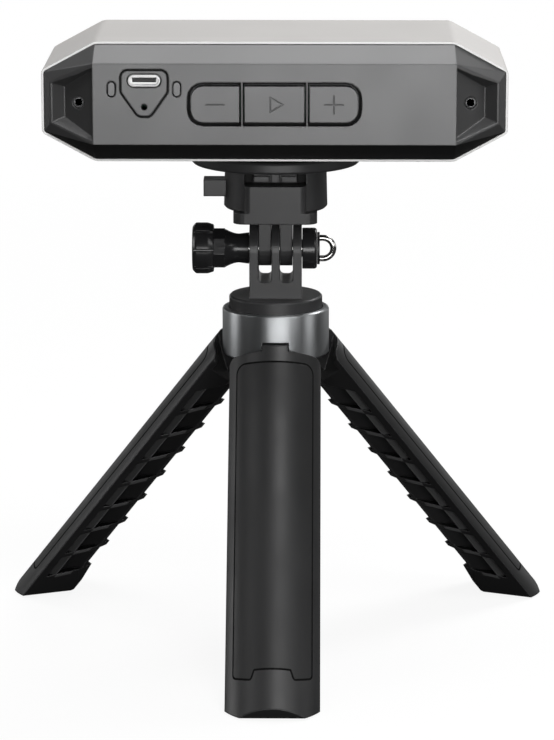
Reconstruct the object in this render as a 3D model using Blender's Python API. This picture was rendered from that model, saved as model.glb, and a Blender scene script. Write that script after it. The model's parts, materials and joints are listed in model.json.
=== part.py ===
"""Pocket three-d scanner head on a quick-release mount, a clamp joint and a mini tripod.

Metres, plus Z up. The rear of the scanner with its keys faces minus Y, its lenses face plus Y.
The tripod axis is built on X = 0, Y = 0 and the finished set is then centred on the origin.
"""
import math

import bmesh
import bpy
import numpy as np
from mathutils import Matrix, Vector

MM = 0.001

# driving dimensions
GAP = 0.3 * MM  # clearance between pieces that rest on or beside each other
WELD = 0.001 * MM
TAU = 2 * math.pi
HALF = 0.5
SMOOTH_ANGLE = math.radians(35)
ROUND_STEPS = 24
SMALL_STEPS = 12
CORNER_STEPS = 4

# heights of the stack, each level above the one below it
leg_pivot_height = 87.82 * MM
collar_below_pivot = 5.42 * MM
collar_height = 13.5 * MM
fork_plate_rise = 3.5 * MM
clamp_rise = 13.35 * MM
step_rise = 9.55 * MM
step_height = 2.7 * MM
release_height = 12.65 * MM
disc_height = 3.25 * MM
pad_height = 0.36 * MM
collar_bottom = leg_pivot_height - collar_below_pivot
collar_top = collar_bottom + collar_height
fork_plate_top = collar_top + fork_plate_rise
clamp_height = fork_plate_top + clamp_rise
step_bottom = clamp_height + step_rise
release_bottom = step_bottom + step_height
release_top = release_bottom + release_height
disc_top = release_top + GAP + disc_height
scanner_bottom = disc_top + pad_height + 2 * GAP

# scanner head
scanner_width = 129.0 * MM
scanner_height = 33.4 * MM
shell_depth = 47.3 * MM
axis_share = 0.549683
shell_rear = -axis_share * shell_depth
corner_across = 14.7 * MM
corner_up = 7.95 * MM
rim_thickness = 0.45 * MM
wall_thickness = 1.6 * MM
rebate_depth = 4.8 * MM
rear_bulge = 5.2 * MM
face_lap = 0.2 * MM
face_edge_inset = 5.45 * MM
rear_face_half_width = scanner_width * HALF - corner_across + face_lap
rear_face_half_height = scanner_height * HALF - face_edge_inset
front_bulge = 2.2 * MM
front_inset = 2.6 * MM
cover_wall = 2.2 * MM

# clamp and tripod
slot_width = 3.8 * MM
middle_prong = 2.26 * MM
outer_prong = 2.52 * MM
slot_offset = (slot_width + middle_prong) * HALF
fork_width = middle_prong + 2 * slot_width + 2 * outer_prong
bolt_radius = 2.5 * MM
prong_wall = 2.5 * MM
fork_wall = 2.4 * MM
prong_radius = bolt_radius + prong_wall
fork_radius = prong_radius + fork_wall
collar_radius = 15.3 * MM
collar_wall = 1.65 * MM
leg_setback = 0.2 * MM
leg_radius = collar_radius - leg_setback
pivot_share = 0.596026
leg_pivot_radius = pivot_share * leg_radius
knuckle_share = 0.251656
knuckle_radius = knuckle_share * leg_radius
leg_splay = math.radians(40.02)
leg_sector = math.radians(120)
leg_directions = {"front": 0.0, "left": leg_sector, "right": -leg_sector}


# mesh helpers
def clear_scene():
    """Remove every object of the start-up scene."""
    for item in list(bpy.data.objects):
        bpy.data.objects.remove(item, do_unlink=True)


def closed_mesh(name, points, faces):
    """Make an object from points and faces, welded, with its normals outward."""
    mesh = bpy.data.meshes.new(name)
    mesh.from_pydata([tuple(p) for p in points], [], faces)
    tidy(mesh)
    item = bpy.data.objects.new(name, mesh)
    bpy.context.scene.collection.objects.link(item)
    return item


def tidy(mesh):
    """Weld coincident points, drop slivers and turn the normals outward."""
    shape = bmesh.new()
    shape.from_mesh(mesh)
    bmesh.ops.remove_doubles(shape, verts=shape.verts, dist=WELD)
    bmesh.ops.dissolve_degenerate(shape, edges=shape.edges, dist=WELD)
    bmesh.ops.recalc_face_normals(shape, faces=shape.faces)
    shape.to_mesh(mesh)
    shape.free()


def loft(name, rings, ring_closed=False):
    """Join equal rings of points with quads and cap the two ends, or close the row of rings."""
    count = len(rings[0])
    points = [p for ring in rings for p in ring]
    faces = []
    total = len(rings)
    for i in range(total if ring_closed else total - 1):
        a = i * count
        b = (i + 1) % total * count
        for j in range(count):
            k = (j + 1) % count
            faces.append((a + j, a + k, b + k, b + j))
    if not ring_closed:
        faces.append(tuple(range(count)))
        faces.append(tuple(range((total - 1) * count, total * count)))
    return closed_mesh(name, points, faces)


def place(axis, a, b, h):
    """Turn outline values a, b and a height h into a point for the given extrusion axis."""
    return {"X": (h, a, b), "Y": (a, h, b), "Z": (a, b, h)}[axis]


def prism(name, outline, low, high, axis="Z"):
    """Extrude an outline between two heights along an axis."""
    return loft(name, [[place(axis, a, b, h) for a, b in outline] for h in (low, high)])


def box(name, low, high):
    """Make a box between two corners."""
    outline = [(low[0], low[1]), (high[0], low[1]), (high[0], high[1]), (low[0], high[1])]
    return prism(name, outline, low[2], high[2])


def lathe(name, profile, axis, centre, steps=ROUND_STEPS, hollow=False):
    """Turn a profile of (radius, height) about an axis through centre; hollow keeps a bore."""
    rows = profile if hollow else [p for p in profile if p[0] > 0]
    rings = []
    for radius, height in rows:
        ring = []
        for k in range(steps):
            angle = TAU * k / steps
            ring.append(Vector(place(axis, radius * math.cos(angle), radius * math.sin(angle), height))
                        + Vector(centre))
        rings.append(ring)
    return loft(name, rings, ring_closed=hollow)


def cylinder(name, radius, low, high, axis, centre, steps=ROUND_STEPS):
    """Make a plain cylinder between two heights along an axis."""
    return lathe(name, [(radius, low), (radius, high)], axis, centre, steps)


def arc(centre, radius, start, end, steps):
    """Points of a circular arc in the outline plane, angles in radians."""
    out = []
    for k in range(steps + 1):
        angle = start + (end - start) * k / steps
        out.append((centre[0] + radius * math.cos(angle), centre[1] + radius * math.sin(angle)))
    return out


def rounded_polygon(corners, radius, steps=CORNER_STEPS):
    """Round every corner of a convex outline that runs counterclockwise."""
    out = []
    count = len(corners)
    for i in range(count):
        here = Vector(corners[i])
        before = (Vector(corners[i - 1]) - here).normalized()
        after = (Vector(corners[(i + 1) % count]) - here).normalized()
        half = before.angle(after) * HALF
        middle = here + (before + after).normalized() * (radius / math.sin(half))
        start = here + before * (radius / math.tan(half)) - middle
        sweep = math.pi - 2 * half
        first = math.atan2(start.y, start.x)
        out += arc(middle, radius, first, first + sweep, steps)
    return out


def rectangle(half_a, half_b, centre=(0, 0)):
    """Corners of a rectangle about a centre, counterclockwise."""
    signs = ((-1, -1), (1, -1), (1, 1), (-1, 1))
    return [(centre[0] + sa * half_a, centre[1] + sb * half_b) for sa, sb in signs]


def evaluated(item):
    """Replace the mesh of an object by the result of its modifiers."""
    graph = bpy.context.evaluated_depsgraph_get()
    mesh = bpy.data.meshes.new_from_object(item.evaluated_get(graph))
    item.modifiers.clear()
    old = item.data
    item.data = mesh
    bpy.data.meshes.remove(old)
    tidy(mesh)
    mesh.name = item.name
    return item


def combine(item, others, operation):
    """Apply exact Booleans of one kind with each of the other objects, which are used up."""
    for other in others:
        step = item.modifiers.new(operation, "BOOLEAN")
        step.operation = operation
        step.solver = "EXACT"
        step.object = other
        evaluated(item)
        mesh = other.data
        bpy.data.objects.remove(other, do_unlink=True)
        bpy.data.meshes.remove(mesh)
    return item


def cut(item, *others):
    """Take the other shapes away from an object."""
    return combine(item, others, "DIFFERENCE")


def add(item, *others):
    """Unite the other shapes with an object."""
    return combine(item, others, "UNION")


def merged(name, items):
    """Put separate closed shapes that do not touch into one object."""
    points, faces = [], []
    for item in items:
        base = len(points)
        points += [v.co[:] for v in item.data.vertices]
        faces += [tuple(base + v for v in f.vertices) for f in item.data.polygons]
        mesh = item.data
        bpy.data.objects.remove(item, do_unlink=True)
        bpy.data.meshes.remove(mesh)
    return closed_mesh(name, points, faces)


def rename(item, name):
    """Name an object and its mesh alike."""
    item.name = name
    item.data.name = name
    return item


def dress(item, colour, roughness, metallic=0.0, origin=(0, 0, 0), parent=None):
    """Give a piece its own material, smooth shading, origin and parent."""
    coat = bpy.data.materials.new(item.name)
    coat.use_nodes = True
    shader = coat.node_tree.nodes["Principled BSDF"]
    shader.inputs["Base Color"].default_value = (*colour, 1.0)
    shader.inputs["Roughness"].default_value = roughness
    shader.inputs["Metallic"].default_value = metallic
    coat.diffuse_color = (*colour, 1.0)
    item.data.materials.clear()
    item.data.materials.append(coat)
    item.data.polygons.foreach_set("use_smooth", [True] * len(item.data.polygons))
    item.data.set_sharp_from_angle(angle=SMOOTH_ANGLE)
    start = Vector(origin)
    item.data.transform(Matrix.Translation(-start))
    item.location = start
    if parent is not None:
        item.parent = parent
        item.location = start - parent.location
    return item


def axis_empty(name, point, parent=None):
    """Mark a joint axis with an empty."""
    item = bpy.data.objects.new(name, None)
    item.empty_display_size = wall_thickness
    item.location = Vector(point)
    if parent is not None:
        item.parent = parent
        item.location = Vector(point) - parent.location
    bpy.context.scene.collection.objects.link(item)
    return item


# colours, linear
ALUMINIUM = (0.60, 0.585, 0.57)
COVER_GREY = (0.16, 0.16, 0.162)
KEY_GREY = (0.165, 0.165, 0.168)
BLACK_PLASTIC = (0.022, 0.022, 0.023)
LEG_GREY = (0.040, 0.040, 0.041)
INLAY_GREY = (0.052, 0.052, 0.053)
COLLAR_METAL = (0.30, 0.315, 0.32)
STEEL = (0.62, 0.61, 0.60)
DARK_STEEL = (0.16, 0.16, 0.165)
RUBBER = (0.015, 0.015, 0.015)
GLASS = (0.012, 0.013, 0.016)
BOARD_GREEN = (0.01, 0.09, 0.045)
BRASS = (0.55, 0.38, 0.13)
LENS_GREY = (0.07, 0.07, 0.072)
LAMP_WHITE = (0.85, 0.84, 0.78)

pivot = Vector((0, 0, clamp_height))
scanner_middle = scanner_bottom + scanner_height * HALF
shell_front = shell_rear + shell_depth


# scanner head
def octagon(inset):
    """Outline of the scanner seen from behind, moved inward by an even inset."""
    across = scanner_width * HALF - inset
    up = scanner_height * HALF - inset
    slant = math.hypot(corner_across, corner_up)
    turn = inset * (corner_across + corner_up - slant)
    cut_across = corner_across - turn / corner_up
    cut_up = corner_up - turn / corner_across
    out = []
    for sa, sb in ((1, 1), (-1, 1), (-1, -1), (1, -1)):
        side = [(sa * across, sb * (up - cut_up)), (sa * (across - cut_across), sb * up)]
        out += side if sa * sb > 0 else side[::-1]
    return [(a, b + scanner_middle) for a, b in out]


def outer_shell(parent):
    """Aluminium sleeve: an eight-sided tube with a thin rim at each mouth and two screw lugs."""
    rim = octagon(rim_thickness)
    inner = octagon(wall_thickness)
    outer = octagon(0)
    rear_step = shell_rear + rebate_depth
    front_step = shell_front - rebate_depth
    rows = [(outer, shell_rear), (outer, shell_front), (rim, shell_front), (rim, front_step),
            (inner, front_step), (inner, rear_step), (rim, rear_step), (rim, shell_rear)]
    item = loft("outer_shell", [[place("Y", a, b, y) for a, b in ring] for ring, y in rows], True)
    for side in (-1, 1):
        lug = box("lug", (min(side * lug_inner, side * lug_outer), lug_rear, scanner_middle - lug_half),
                  (max(side * lug_inner, side * lug_outer), lug_front, scanner_middle + lug_half))
        add(item, lug)
        cut(item, cylinder("bore", end_screw_radius + GAP, lug_rear - GAP, lug_bore_end, "Y",
                           (side * end_screw_x, 0, scanner_middle), SMALL_STEPS))
    cut(item, cylinder("mount_hole", mount_screw_radius + GAP, scanner_bottom - wall_thickness,
                       scanner_bottom + 2 * wall_thickness, "Z", (0, 0, 0)))
    return dress(item, ALUMINIUM, 0.38, 0.85, pivot, parent)


lug_inset = 0.5 * MM
lug_sink_share = 0.75
lug_length = 7.7 * MM
lug_end_wall = 1.1 * MM
lug_half = 4.5 * MM
lug_inner = rear_face_half_width + lug_inset
lug_outer = scanner_width * HALF - lug_sink_share * wall_thickness
lug_rear = shell_rear + rebate_depth
lug_front = lug_rear + lug_length
lug_bore_end = lug_front - lug_end_wall
mount_screw_radius = 3.15 * MM

cover_back = shell_rear + rebate_depth - GAP
rear_face = shell_rear - rear_bulge
cavity_side_wall = 2.4 * MM
cavity_rise = 0.95 * MM
cavity_half_width = rear_face_half_width - cavity_side_wall
cavity_half_height = rear_face_half_height + cavity_rise
cavity_floor = rear_face + cover_wall

side_half_height = scanner_height * HALF - corner_up
ridge_edge = 2.5 * MM
ridge_drop = 2.95 * MM
ridge_rise = 1.6 * MM
ridge_x = scanner_width * HALF - ridge_edge
ridge_half = side_half_height - ridge_drop
ridge_y = shell_rear - ridge_rise
recess_lap = 0.2 * MM
recess_edge = 0.5 * MM
recess_lip = 0.35 * MM
recess_face_edge = 1.1 * MM
recess_inner_x = rear_face_half_width + recess_lap
recess_outer_x = ridge_x - recess_edge
recess_inner_half = rear_face_half_height - recess_face_edge
recess_outer_half = ridge_half - recess_lip
mouth_share = (recess_outer_x - rear_face_half_width) / (ridge_x - rear_face_half_width)
mouth_outer_y = rear_face + (ridge_y - rear_face) * mouth_share
floor_end_run = 3.4 * MM
floor_inner_run = 0.85 * MM
floor_outer_run = 1.25 * MM
floor_outer_x = recess_outer_x - floor_end_run
floor_inner_half = recess_inner_half - floor_inner_run
floor_outer_half = recess_outer_half - floor_outer_run
recess_step = 1.3 * MM
recess_outer_depth = 2.0 * MM
floor_inner_y = rear_face + recess_step
floor_outer_y = ridge_y + recess_outer_depth
recess_over_share = 3.5
floor_slope_share = (floor_outer_y - floor_inner_y) / (floor_outer_x - recess_inner_x)
end_screw_inset = 3.9 * MM
end_screw_room = 0.4 * MM
end_screw_x = recess_inner_x + end_screw_inset
end_screw_radius = 0.9 * MM
end_screw_head = 1.5 * MM
end_screw_head_height = 1.0 * MM
end_screw_sink = 0.1 * MM
end_screw_top = floor_inner_y + floor_slope_share * (end_screw_inset + end_screw_head) + end_screw_sink
end_screw_seat = end_screw_top + end_screw_head_height + GAP
end_screw_tip = lug_bore_end - end_screw_room

key_half_height = 5.0 * MM
key_strip_inset = 27.0 * MM
key_strip_half = rear_face_half_width - key_strip_inset
key_corner = 3.3 * MM
key_groove = 1.05 * MM
web_share = 0.38913
web_x = web_share * key_strip_half
web_half = 0.26 * MM
web_gap = 0.46 * MM
gasket_thickness = 0.7 * MM
gasket_lip = 1.6 * MM
gasket_front = cavity_floor + GAP
gasket_back = gasket_front + gasket_thickness
key_travel = 0.5 * MM
key_flange_thickness = 0.6 * MM
key_flange_lip = 0.5 * MM
key_plunger_length = 1.6 * MM
key_plunger_radius = 1.5 * MM
key_back = gasket_back + 2 * GAP
key_flange_back = key_back + key_flange_thickness
key_plunger_tip = key_flange_back + key_plunger_length
key_symbol_depth = 0.12 * MM
key_symbol_half = 2.6 * MM
key_symbol_line = 0.16 * MM

port_inset = 14.15 * MM
port_top_inset = 2.04 * MM
port_height = 12.45 * MM
port_shoulder_drop = 5.8 * MM
port_half_width = 6.25 * MM
port_tip_half = 1.55 * MM
port_corner = 1.7 * MM
port_thickness = 1.8 * MM
port_groove_width = 0.55 * MM
port_groove_depth = 0.8 * MM
port_x = port_inset - rear_face_half_width
port_top = scanner_middle + rear_face_half_height - port_top_inset
port_bottom = port_top - port_height
port_shoulder = port_top - port_shoulder_drop
port_back = rear_face + port_thickness
socket_drop = 2.7 * MM
socket_z = port_top - socket_drop
socket_half_width = 4.47 * MM
socket_half_height = 1.63 * MM
socket_wall = 0.32 * MM
socket_back = cover_back
tongue_half_width = 3.3 * MM
tongue_half_height = 0.35 * MM
tongue_setback = 1.1 * MM
tongue_front = rear_face + tongue_setback
lock_thread_rise = 2.45 * MM
lock_thread_z = port_bottom + lock_thread_rise
lock_thread_radius = 0.85 * MM

indicator_offset = 9.0 * MM
indicator_drop = 5.02 * MM
indicator_x = (port_x - indicator_offset, port_x + indicator_offset)
indicator_z = port_top - indicator_drop
indicator_half_width = 0.95 * MM
indicator_half_height = 1.95 * MM
indicator_flange = 1.2 * MM
indicator_back = cavity_floor + indicator_flange


def stadium(half_a, half_b, centre, steps=CORNER_STEPS):
    """Outline with two full round ends, along its longer side."""
    if half_a >= half_b:
        run = half_a - half_b
        return (arc((centre[0] + run, centre[1]), half_b, -math.pi / 2, math.pi / 2, 2 * steps)
                + arc((centre[0] - run, centre[1]), half_b, math.pi / 2, 3 * math.pi / 2, 2 * steps))
    run = half_b - half_a
    return (arc((centre[0], centre[1] + run), half_a, 0, math.pi, 2 * steps)
            + arc((centre[0], centre[1] - run), half_a, math.pi, TAU, 2 * steps))


def port_outline(grow):
    """Rounded triangle of the port plate, widened by grow on every side."""
    corners = [(port_x - port_tip_half, port_bottom), (port_x + port_tip_half, port_bottom),
               (port_x + port_half_width, port_shoulder), (port_x + port_half_width, port_top),
               (port_x - port_half_width, port_top), (port_x - port_half_width, port_shoulder)]
    base = rounded_polygon(corners, port_corner)
    out = []
    count = len(base)
    for i in range(count):
        along = Vector(base[(i + 1) % count]) - Vector(base[i - 1])
        normal = Vector((along.y, -along.x)).normalized()
        out.append(tuple(Vector(base[i]) + normal * grow))
    return out


def faceted_cap(name, rim, rim_y, face, face_y, back_y, ridge=()):
    """Cap with a straight edge from back_y to rim_y and facets from the rim to a smaller face. A ridge,
    given as one point beside each corner of the face, can stand between rim and face at both ends."""
    rim_ring = [(a, rim_y, b) for a, b in rim]
    back_ring = [(a, back_y, b) for a, b in rim]
    face_ring = [(a, face_y, b) for a, b in face]
    count = len(rim)
    points = back_ring + rim_ring + face_ring + list(ridge)
    faces = [tuple(range(count))]
    for j in range(count):
        k = (j + 1) % count
        faces.append((j, k, count + k, count + j))
    four = len(face)
    base = 2 * count
    for q in range(four):
        first = count + 2 * q
        second = count + (2 * q + 1)
        third = count + (2 * q + 2) % count
        beyond = (q + 1) % four
        faces.append((first, second, base + q))
        if ridge and q % 2:
            faces.append((second, base + four + q, base + q))
            faces.append((third, base + beyond, base + four + beyond))
            faces.append((second, third, base + four + beyond, base + four + q))
            faces.append((base + four + q, base + four + beyond, base + beyond, base + q))
        else:
            faces.append((second, third, base + beyond, base + q))
    faces.append(tuple(range(base, base + four)))
    return closed_mesh(name, points, faces)


def end_recess(side):
    """Wedge-shaped recess in one end of the rear cover: a low step at the face, a floor that slopes away
    from it, and walls that lean outward. Each wall is two triangles, because its corners may lie off one
    plane."""
    mouth = [(recess_inner_x, rear_face, recess_inner_half), (recess_inner_x, rear_face, -recess_inner_half),
             (recess_outer_x, mouth_outer_y, -recess_outer_half),
             (recess_outer_x, mouth_outer_y, recess_outer_half)]
    floor = [(recess_inner_x, floor_inner_y, floor_inner_half),
             (recess_inner_x, floor_inner_y, -floor_inner_half),
             (floor_outer_x, floor_outer_y, -floor_outer_half),
             (floor_outer_x, floor_outer_y, floor_outer_half)]
    points = []
    for share in (0.0, recess_over_share):
        for (mx, my, mz), (fx, fy, fz) in zip(mouth, floor):
            points.append((side * (fx + (mx - fx) * share), fy + (my - fy) * share,
                           scanner_middle + fz + (mz - fz) * share))
    count = len(mouth)
    faces = [tuple(range(count)), tuple(range(count, 2 * count))]
    for j in range(count):
        k = (j + 1) % count
        faces.append((j, k, count + k))
        faces.append((j, count + k, count + j))
    return closed_mesh("end_recess", points, faces)


def rear_cover(parent):
    """Dark faceted rear cap, two millimetres thick behind the keys, solid at its screwed ends."""
    rim = octagon(rim_thickness + GAP)
    face = [(sa * rear_face_half_width, scanner_middle + sb * rear_face_half_height)
            for sa, sb in ((1, 1), (-1, 1), (-1, -1), (1, -1))]
    ridge = [(sa * ridge_x, ridge_y, scanner_middle + sb * ridge_half)
             for sa, sb in ((1, 1), (-1, 1), (-1, -1), (1, -1))]
    item = faceted_cap("rear_cover", rim, shell_rear, face, rear_face, cover_back, ridge)
    cut(item, box("cavity", (-cavity_half_width, cavity_floor, scanner_middle - cavity_half_height),
                  (cavity_half_width, 0, scanner_middle + cavity_half_height)))
    add(item, *[cylinder("post", board_post_radius, cavity_floor - GAP, board_front - GAP, "Y",
                         (sx * board_post_x, 0, scanner_middle + sz * board_post_z), SMALL_STEPS)
                for sx in (-1, 1) for sz in (-1, 1)])
    for side in (-1, 1):
        cut(item, end_recess(side))
        centre = (side * end_screw_x, 0, scanner_middle)
        cut(item, cylinder("bore", end_screw_radius + GAP, rear_face, 0, "Y", centre, SMALL_STEPS))
        cut(item, cylinder("seat", end_screw_head + GAP, rear_face, end_screw_seat, "Y", centre,
                           SMALL_STEPS))
    deep = rear_face - GAP
    through = cavity_floor + GAP
    cut(item, prism("port_hole", port_outline(GAP), deep, through, "Y"))
    cut(item, prism("port_groove", port_outline(port_groove_width), deep, rear_face + port_groove_depth,
                    "Y"))
    for x in indicator_x:
        cut(item, prism("lens_hole", stadium(indicator_half_width + GAP, indicator_half_height + GAP,
                                             (x, indicator_z)), deep, through, "Y"))
    for outline in key_openings():
        cut(item, prism("key_hole", outline, deep, through, "Y"))
    return dress(item, COVER_GREY, 0.5, 0.0, pivot, parent)


board_post_radius = 2.0 * MM
board_post_inset = 2.6 * MM
board_post_x = cavity_half_width - board_post_inset
board_post_z = cavity_half_height - board_post_inset
board_front = cover_back + GAP
board_thickness = 1.6 * MM
board_side_lap = 1.4 * MM
board_top_lap = 0.2 * MM
board_half_width = cavity_half_width + board_side_lap
board_half_height = cavity_half_height + board_top_lap


def key_column(low, high, round_low, round_high, grow_low, grow_high, grow_height):
    """Outline of one key or of its opening, with round corners only at the ends of the strip."""
    bottom = scanner_middle - key_half_height - grow_height
    top = scanner_middle + key_half_height + grow_height
    left = low - grow_low
    right = high + grow_high
    out = []
    if round_low:
        r = key_corner + grow_height
        out += arc((left + r, top - r), r, math.pi / 2, math.pi, CORNER_STEPS)
        out += arc((left + r, bottom + r), r, math.pi, 3 * math.pi / 2, CORNER_STEPS)
    else:
        out += [(left, top), (left, bottom)]
    if round_high:
        r = key_corner + grow_height
        out += arc((right - r, bottom + r), r, -math.pi / 2, 0, CORNER_STEPS)
        out += arc((right - r, top - r), r, 0, math.pi / 2, CORNER_STEPS)
    else:
        out += [(right, bottom), (right, top)]
    return out


key_edge = web_x - web_half - web_gap
key_spans = {"minus_button": (-key_strip_half, -(web_x + web_half + web_gap), True, False),
             "play_button": (-key_edge, key_edge, False, False),
             "plus_button": (web_x + web_half + web_gap, key_strip_half, False, True)}


def key_openings(width=key_groove, web=web_gap):
    """Outlines of the three key openings, parted by the two thin webs."""
    out = []
    for low, high, round_low, round_high in key_spans.values():
        out.append(key_column(low, high, round_low, round_high, width if round_low else web,
                              width if round_high else web, width))
    return out


def symbol_shapes(name, x):
    """Shallow engraved sign of a key: a bar, an outlined triangle or a cross."""
    deep = rear_face + key_symbol_depth
    shallow = rear_face - GAP
    z = scanner_middle - HALF * key_symbol_line

    def bar(a, b, half_a, half_b):
        return prism("sign", rectangle(half_a, half_b, (a, b)), shallow, deep, "Y")
    if name == "minus_button":
        return [bar(x, z, key_symbol_half, key_symbol_line)]
    if name == "plus_button":
        long = key_symbol_half
        thin = key_symbol_line
        outline = []
        for quarter in range(4):
            turn = math.pi / 2 * quarter
            for a, b in ((long, -thin), (long, thin), (thin, thin)):
                outline.append((x + a * math.cos(turn) - b * math.sin(turn),
                                z + a * math.sin(turn) + b * math.cos(turn)))
        return [prism("sign", outline, shallow, deep, "Y")]
    outer = [(x + key_symbol_half * math.cos(TAU * k / 3), z + key_symbol_half * math.sin(TAU * k / 3))
             for k in range(3)]
    inner_size = key_symbol_half - 4 * key_symbol_line
    inner = [(x + inner_size * math.cos(TAU * k / 3), z + inner_size * math.sin(TAU * k / 3))
             for k in range(3)]
    return [loft("sign", [[place("Y", a, b, y) for a, b in ring]
                          for ring, y in ((outer, shallow), (outer, deep), (inner, deep), (inner, shallow))],
                 True)]


def keys(parent):
    """The three keys: a cap flush with the cover, a flange behind the gasket and a plunger."""
    out = []
    for name, (low, high, round_low, round_high) in key_spans.items():
        x = (low + high) * HALF
        item = prism(name, key_column(low, high, round_low, round_high, 0, 0, 0), rear_face, key_back, "Y")
        lip = key_flange_lip
        flange = key_column(low, high, round_low, round_high, lip if round_low else 0,
                            lip if round_high else 0, lip)
        add(item, prism("flange", flange, key_back - GAP, key_flange_back, "Y"))
        add(item, cylinder("plunger", key_plunger_radius, key_flange_back - GAP, key_plunger_tip, "Y",
                           (x, 0, scanner_middle), SMALL_STEPS))
        cut(item, *symbol_shapes(name, x))
        out.append(dress(item, KEY_GREY, 0.48, 0.0, (x, rear_face, scanner_middle), parent))
    return out


def key_gasket(parent):
    """Black gasket behind the keys that closes the groove around them."""
    outline = rounded_polygon(rectangle(key_strip_half + gasket_lip, key_half_height + gasket_lip,
                                        (0, scanner_middle)), key_corner + gasket_lip)
    item = prism("key_gasket", outline, gasket_front, gasket_back, "Y")
    for hole in key_openings(GAP, GAP):
        cut(item, prism("key_hole", hole, gasket_front - GAP, gasket_back + GAP, "Y"))
    return dress(item, RUBBER, 0.8, 0.0, pivot, parent)


def port_group(parent):
    """Port plate with the socket, its tongue and the cable lock thread."""
    plate = prism("port_plate", port_outline(0), rear_face, port_back, "Y")
    cut(plate, prism("socket_hole", stadium(socket_half_width + GAP, socket_half_height + GAP,
                                            (port_x, socket_z)), rear_face - GAP, port_back + GAP, "Y"))
    cut(plate, cylinder("lock_hole", lock_thread_radius, rear_face - GAP, port_back + GAP, "Y",
                        (port_x, 0, lock_thread_z), SMALL_STEPS))
    dress(plate, COVER_GREY, 0.45, 0.0, pivot, parent)
    outer = stadium(socket_half_width, socket_half_height, (port_x, socket_z))
    inner = stadium(socket_half_width - socket_wall, socket_half_height - socket_wall, (port_x, socket_z))
    rows = ((outer, rear_face), (outer, socket_back), (inner, socket_back), (inner, rear_face))
    shell = loft("usb_c_shell", [[place("Y", a, b, y) for a, b in ring] for ring, y in rows], True)
    dress(shell, STEEL, 0.25, 1.0, pivot, parent)
    tongue = box("usb_c_tongue", (port_x - tongue_half_width, tongue_front, socket_z - tongue_half_height),
                 (port_x + tongue_half_width, socket_back, socket_z + tongue_half_height))
    base = prism("base", stadium(socket_half_width - socket_wall - GAP,
                                 socket_half_height - socket_wall - GAP, (port_x, socket_z)),
                 socket_back - tongue_base, socket_back, "Y")
    add(tongue, base)
    dress(tongue, BLACK_PLASTIC, 0.5, 0.0, pivot, parent)


tongue_base = 1.4 * MM


def indicator_lenses(parent):
    """Two upright light pipes beside the port plate, each with a flange inside."""
    for name, x in zip(("indicator_lens_left", "indicator_lens_right"), indicator_x):
        item = prism(name, stadium(indicator_half_width, indicator_half_height, (x, indicator_z)),
                     rear_face, indicator_back, "Y")
        lip = 2 * GAP
        add(item, prism("flange", stadium(indicator_half_width + lip, indicator_half_height + lip,
                                          (x, indicator_z)), cavity_floor + GAP, indicator_back, "Y"))
        dress(item, LENS_GREY, 0.3, 0.0, pivot, parent)


def cross_cutter(x, y, z, depth, length, width, axis="Y"):
    """Cross-shaped recess for a screw driver."""
    outline = []
    for quarter in range(4):
        turn = math.pi / 2 * quarter + math.pi / 4
        for a, b in ((length, -width), (length, width), (width, width)):
            outline.append((a * math.cos(turn) - b * math.sin(turn),
                            a * math.sin(turn) + b * math.cos(turn)))
    if axis == "Y":
        return prism("cross", [(x + a, z + b) for a, b in outline], y - depth, y + depth, "Y")
    return prism("cross", [(x + a, y + b) for a, b in outline], z - depth, z + depth, "Z")


cross_length = 1.05 * MM
cross_width = 0.24 * MM
cross_depth = 0.55 * MM


def rear_cover_screws(parent):
    """The two cross-head screws that hold the rear cover on the lugs of the sleeve."""
    under = end_screw_seat - GAP
    for name, side in (("rear_screw_left", -1), ("rear_screw_right", 1)):
        centre = (side * end_screw_x, 0, scanner_middle)
        profile = [(end_screw_head - GAP, end_screw_top), (end_screw_head, end_screw_top + GAP),
                   (end_screw_head, under), (end_screw_radius, under), (end_screw_radius, end_screw_tip)]
        screw = lathe(name, profile, "Y", centre, SMALL_STEPS)
        cut(screw, cross_cutter(centre[0], end_screw_top, centre[2], cross_depth, cross_length, cross_width))
        dress(screw, DARK_STEEL, 0.35, 0.9, pivot, parent)


glass_side_inset = 10.0 * MM
glass_edge_inset = 5.35 * MM
glass_half_width = scanner_width * HALF - glass_side_inset
glass_half_height = scanner_height * HALF - glass_edge_inset
glass_corner = 3.2 * MM
glass_thickness = 1.1 * MM
glass_setback = 0.15 * MM
camera_inset = 10.5 * MM
camera_x = glass_half_width - camera_inset
camera_barrel = 6.0 * MM
camera_lens = 3.4 * MM
projector_barrel = 7.2 * MM
projector_lens = 4.6 * MM
colour_x = camera_x * HALF
colour_barrel = 4.4 * MM
colour_lens = 2.3 * MM
lamp_x = -camera_x * HALF
lamp_pitch = 3.4 * MM
lamp_radius = 2.1 * MM
insert_radius = 6.0 * MM
insert_height = 6.4 * MM
frame_clearance = 1.4 * MM
frame_thickness = 2.0 * MM
frame_back = insert_radius + frame_clearance
frame_front = frame_back + frame_thickness
lens_depth = 1.6 * MM
lens_chamfer = 1.0 * MM
front_face = shell_front + front_bulge
glass_front = front_face - glass_setback
glass_back = glass_front - glass_thickness
barrel_setback = 0.95 * MM
barrel_front = glass_back - barrel_setback


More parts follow.
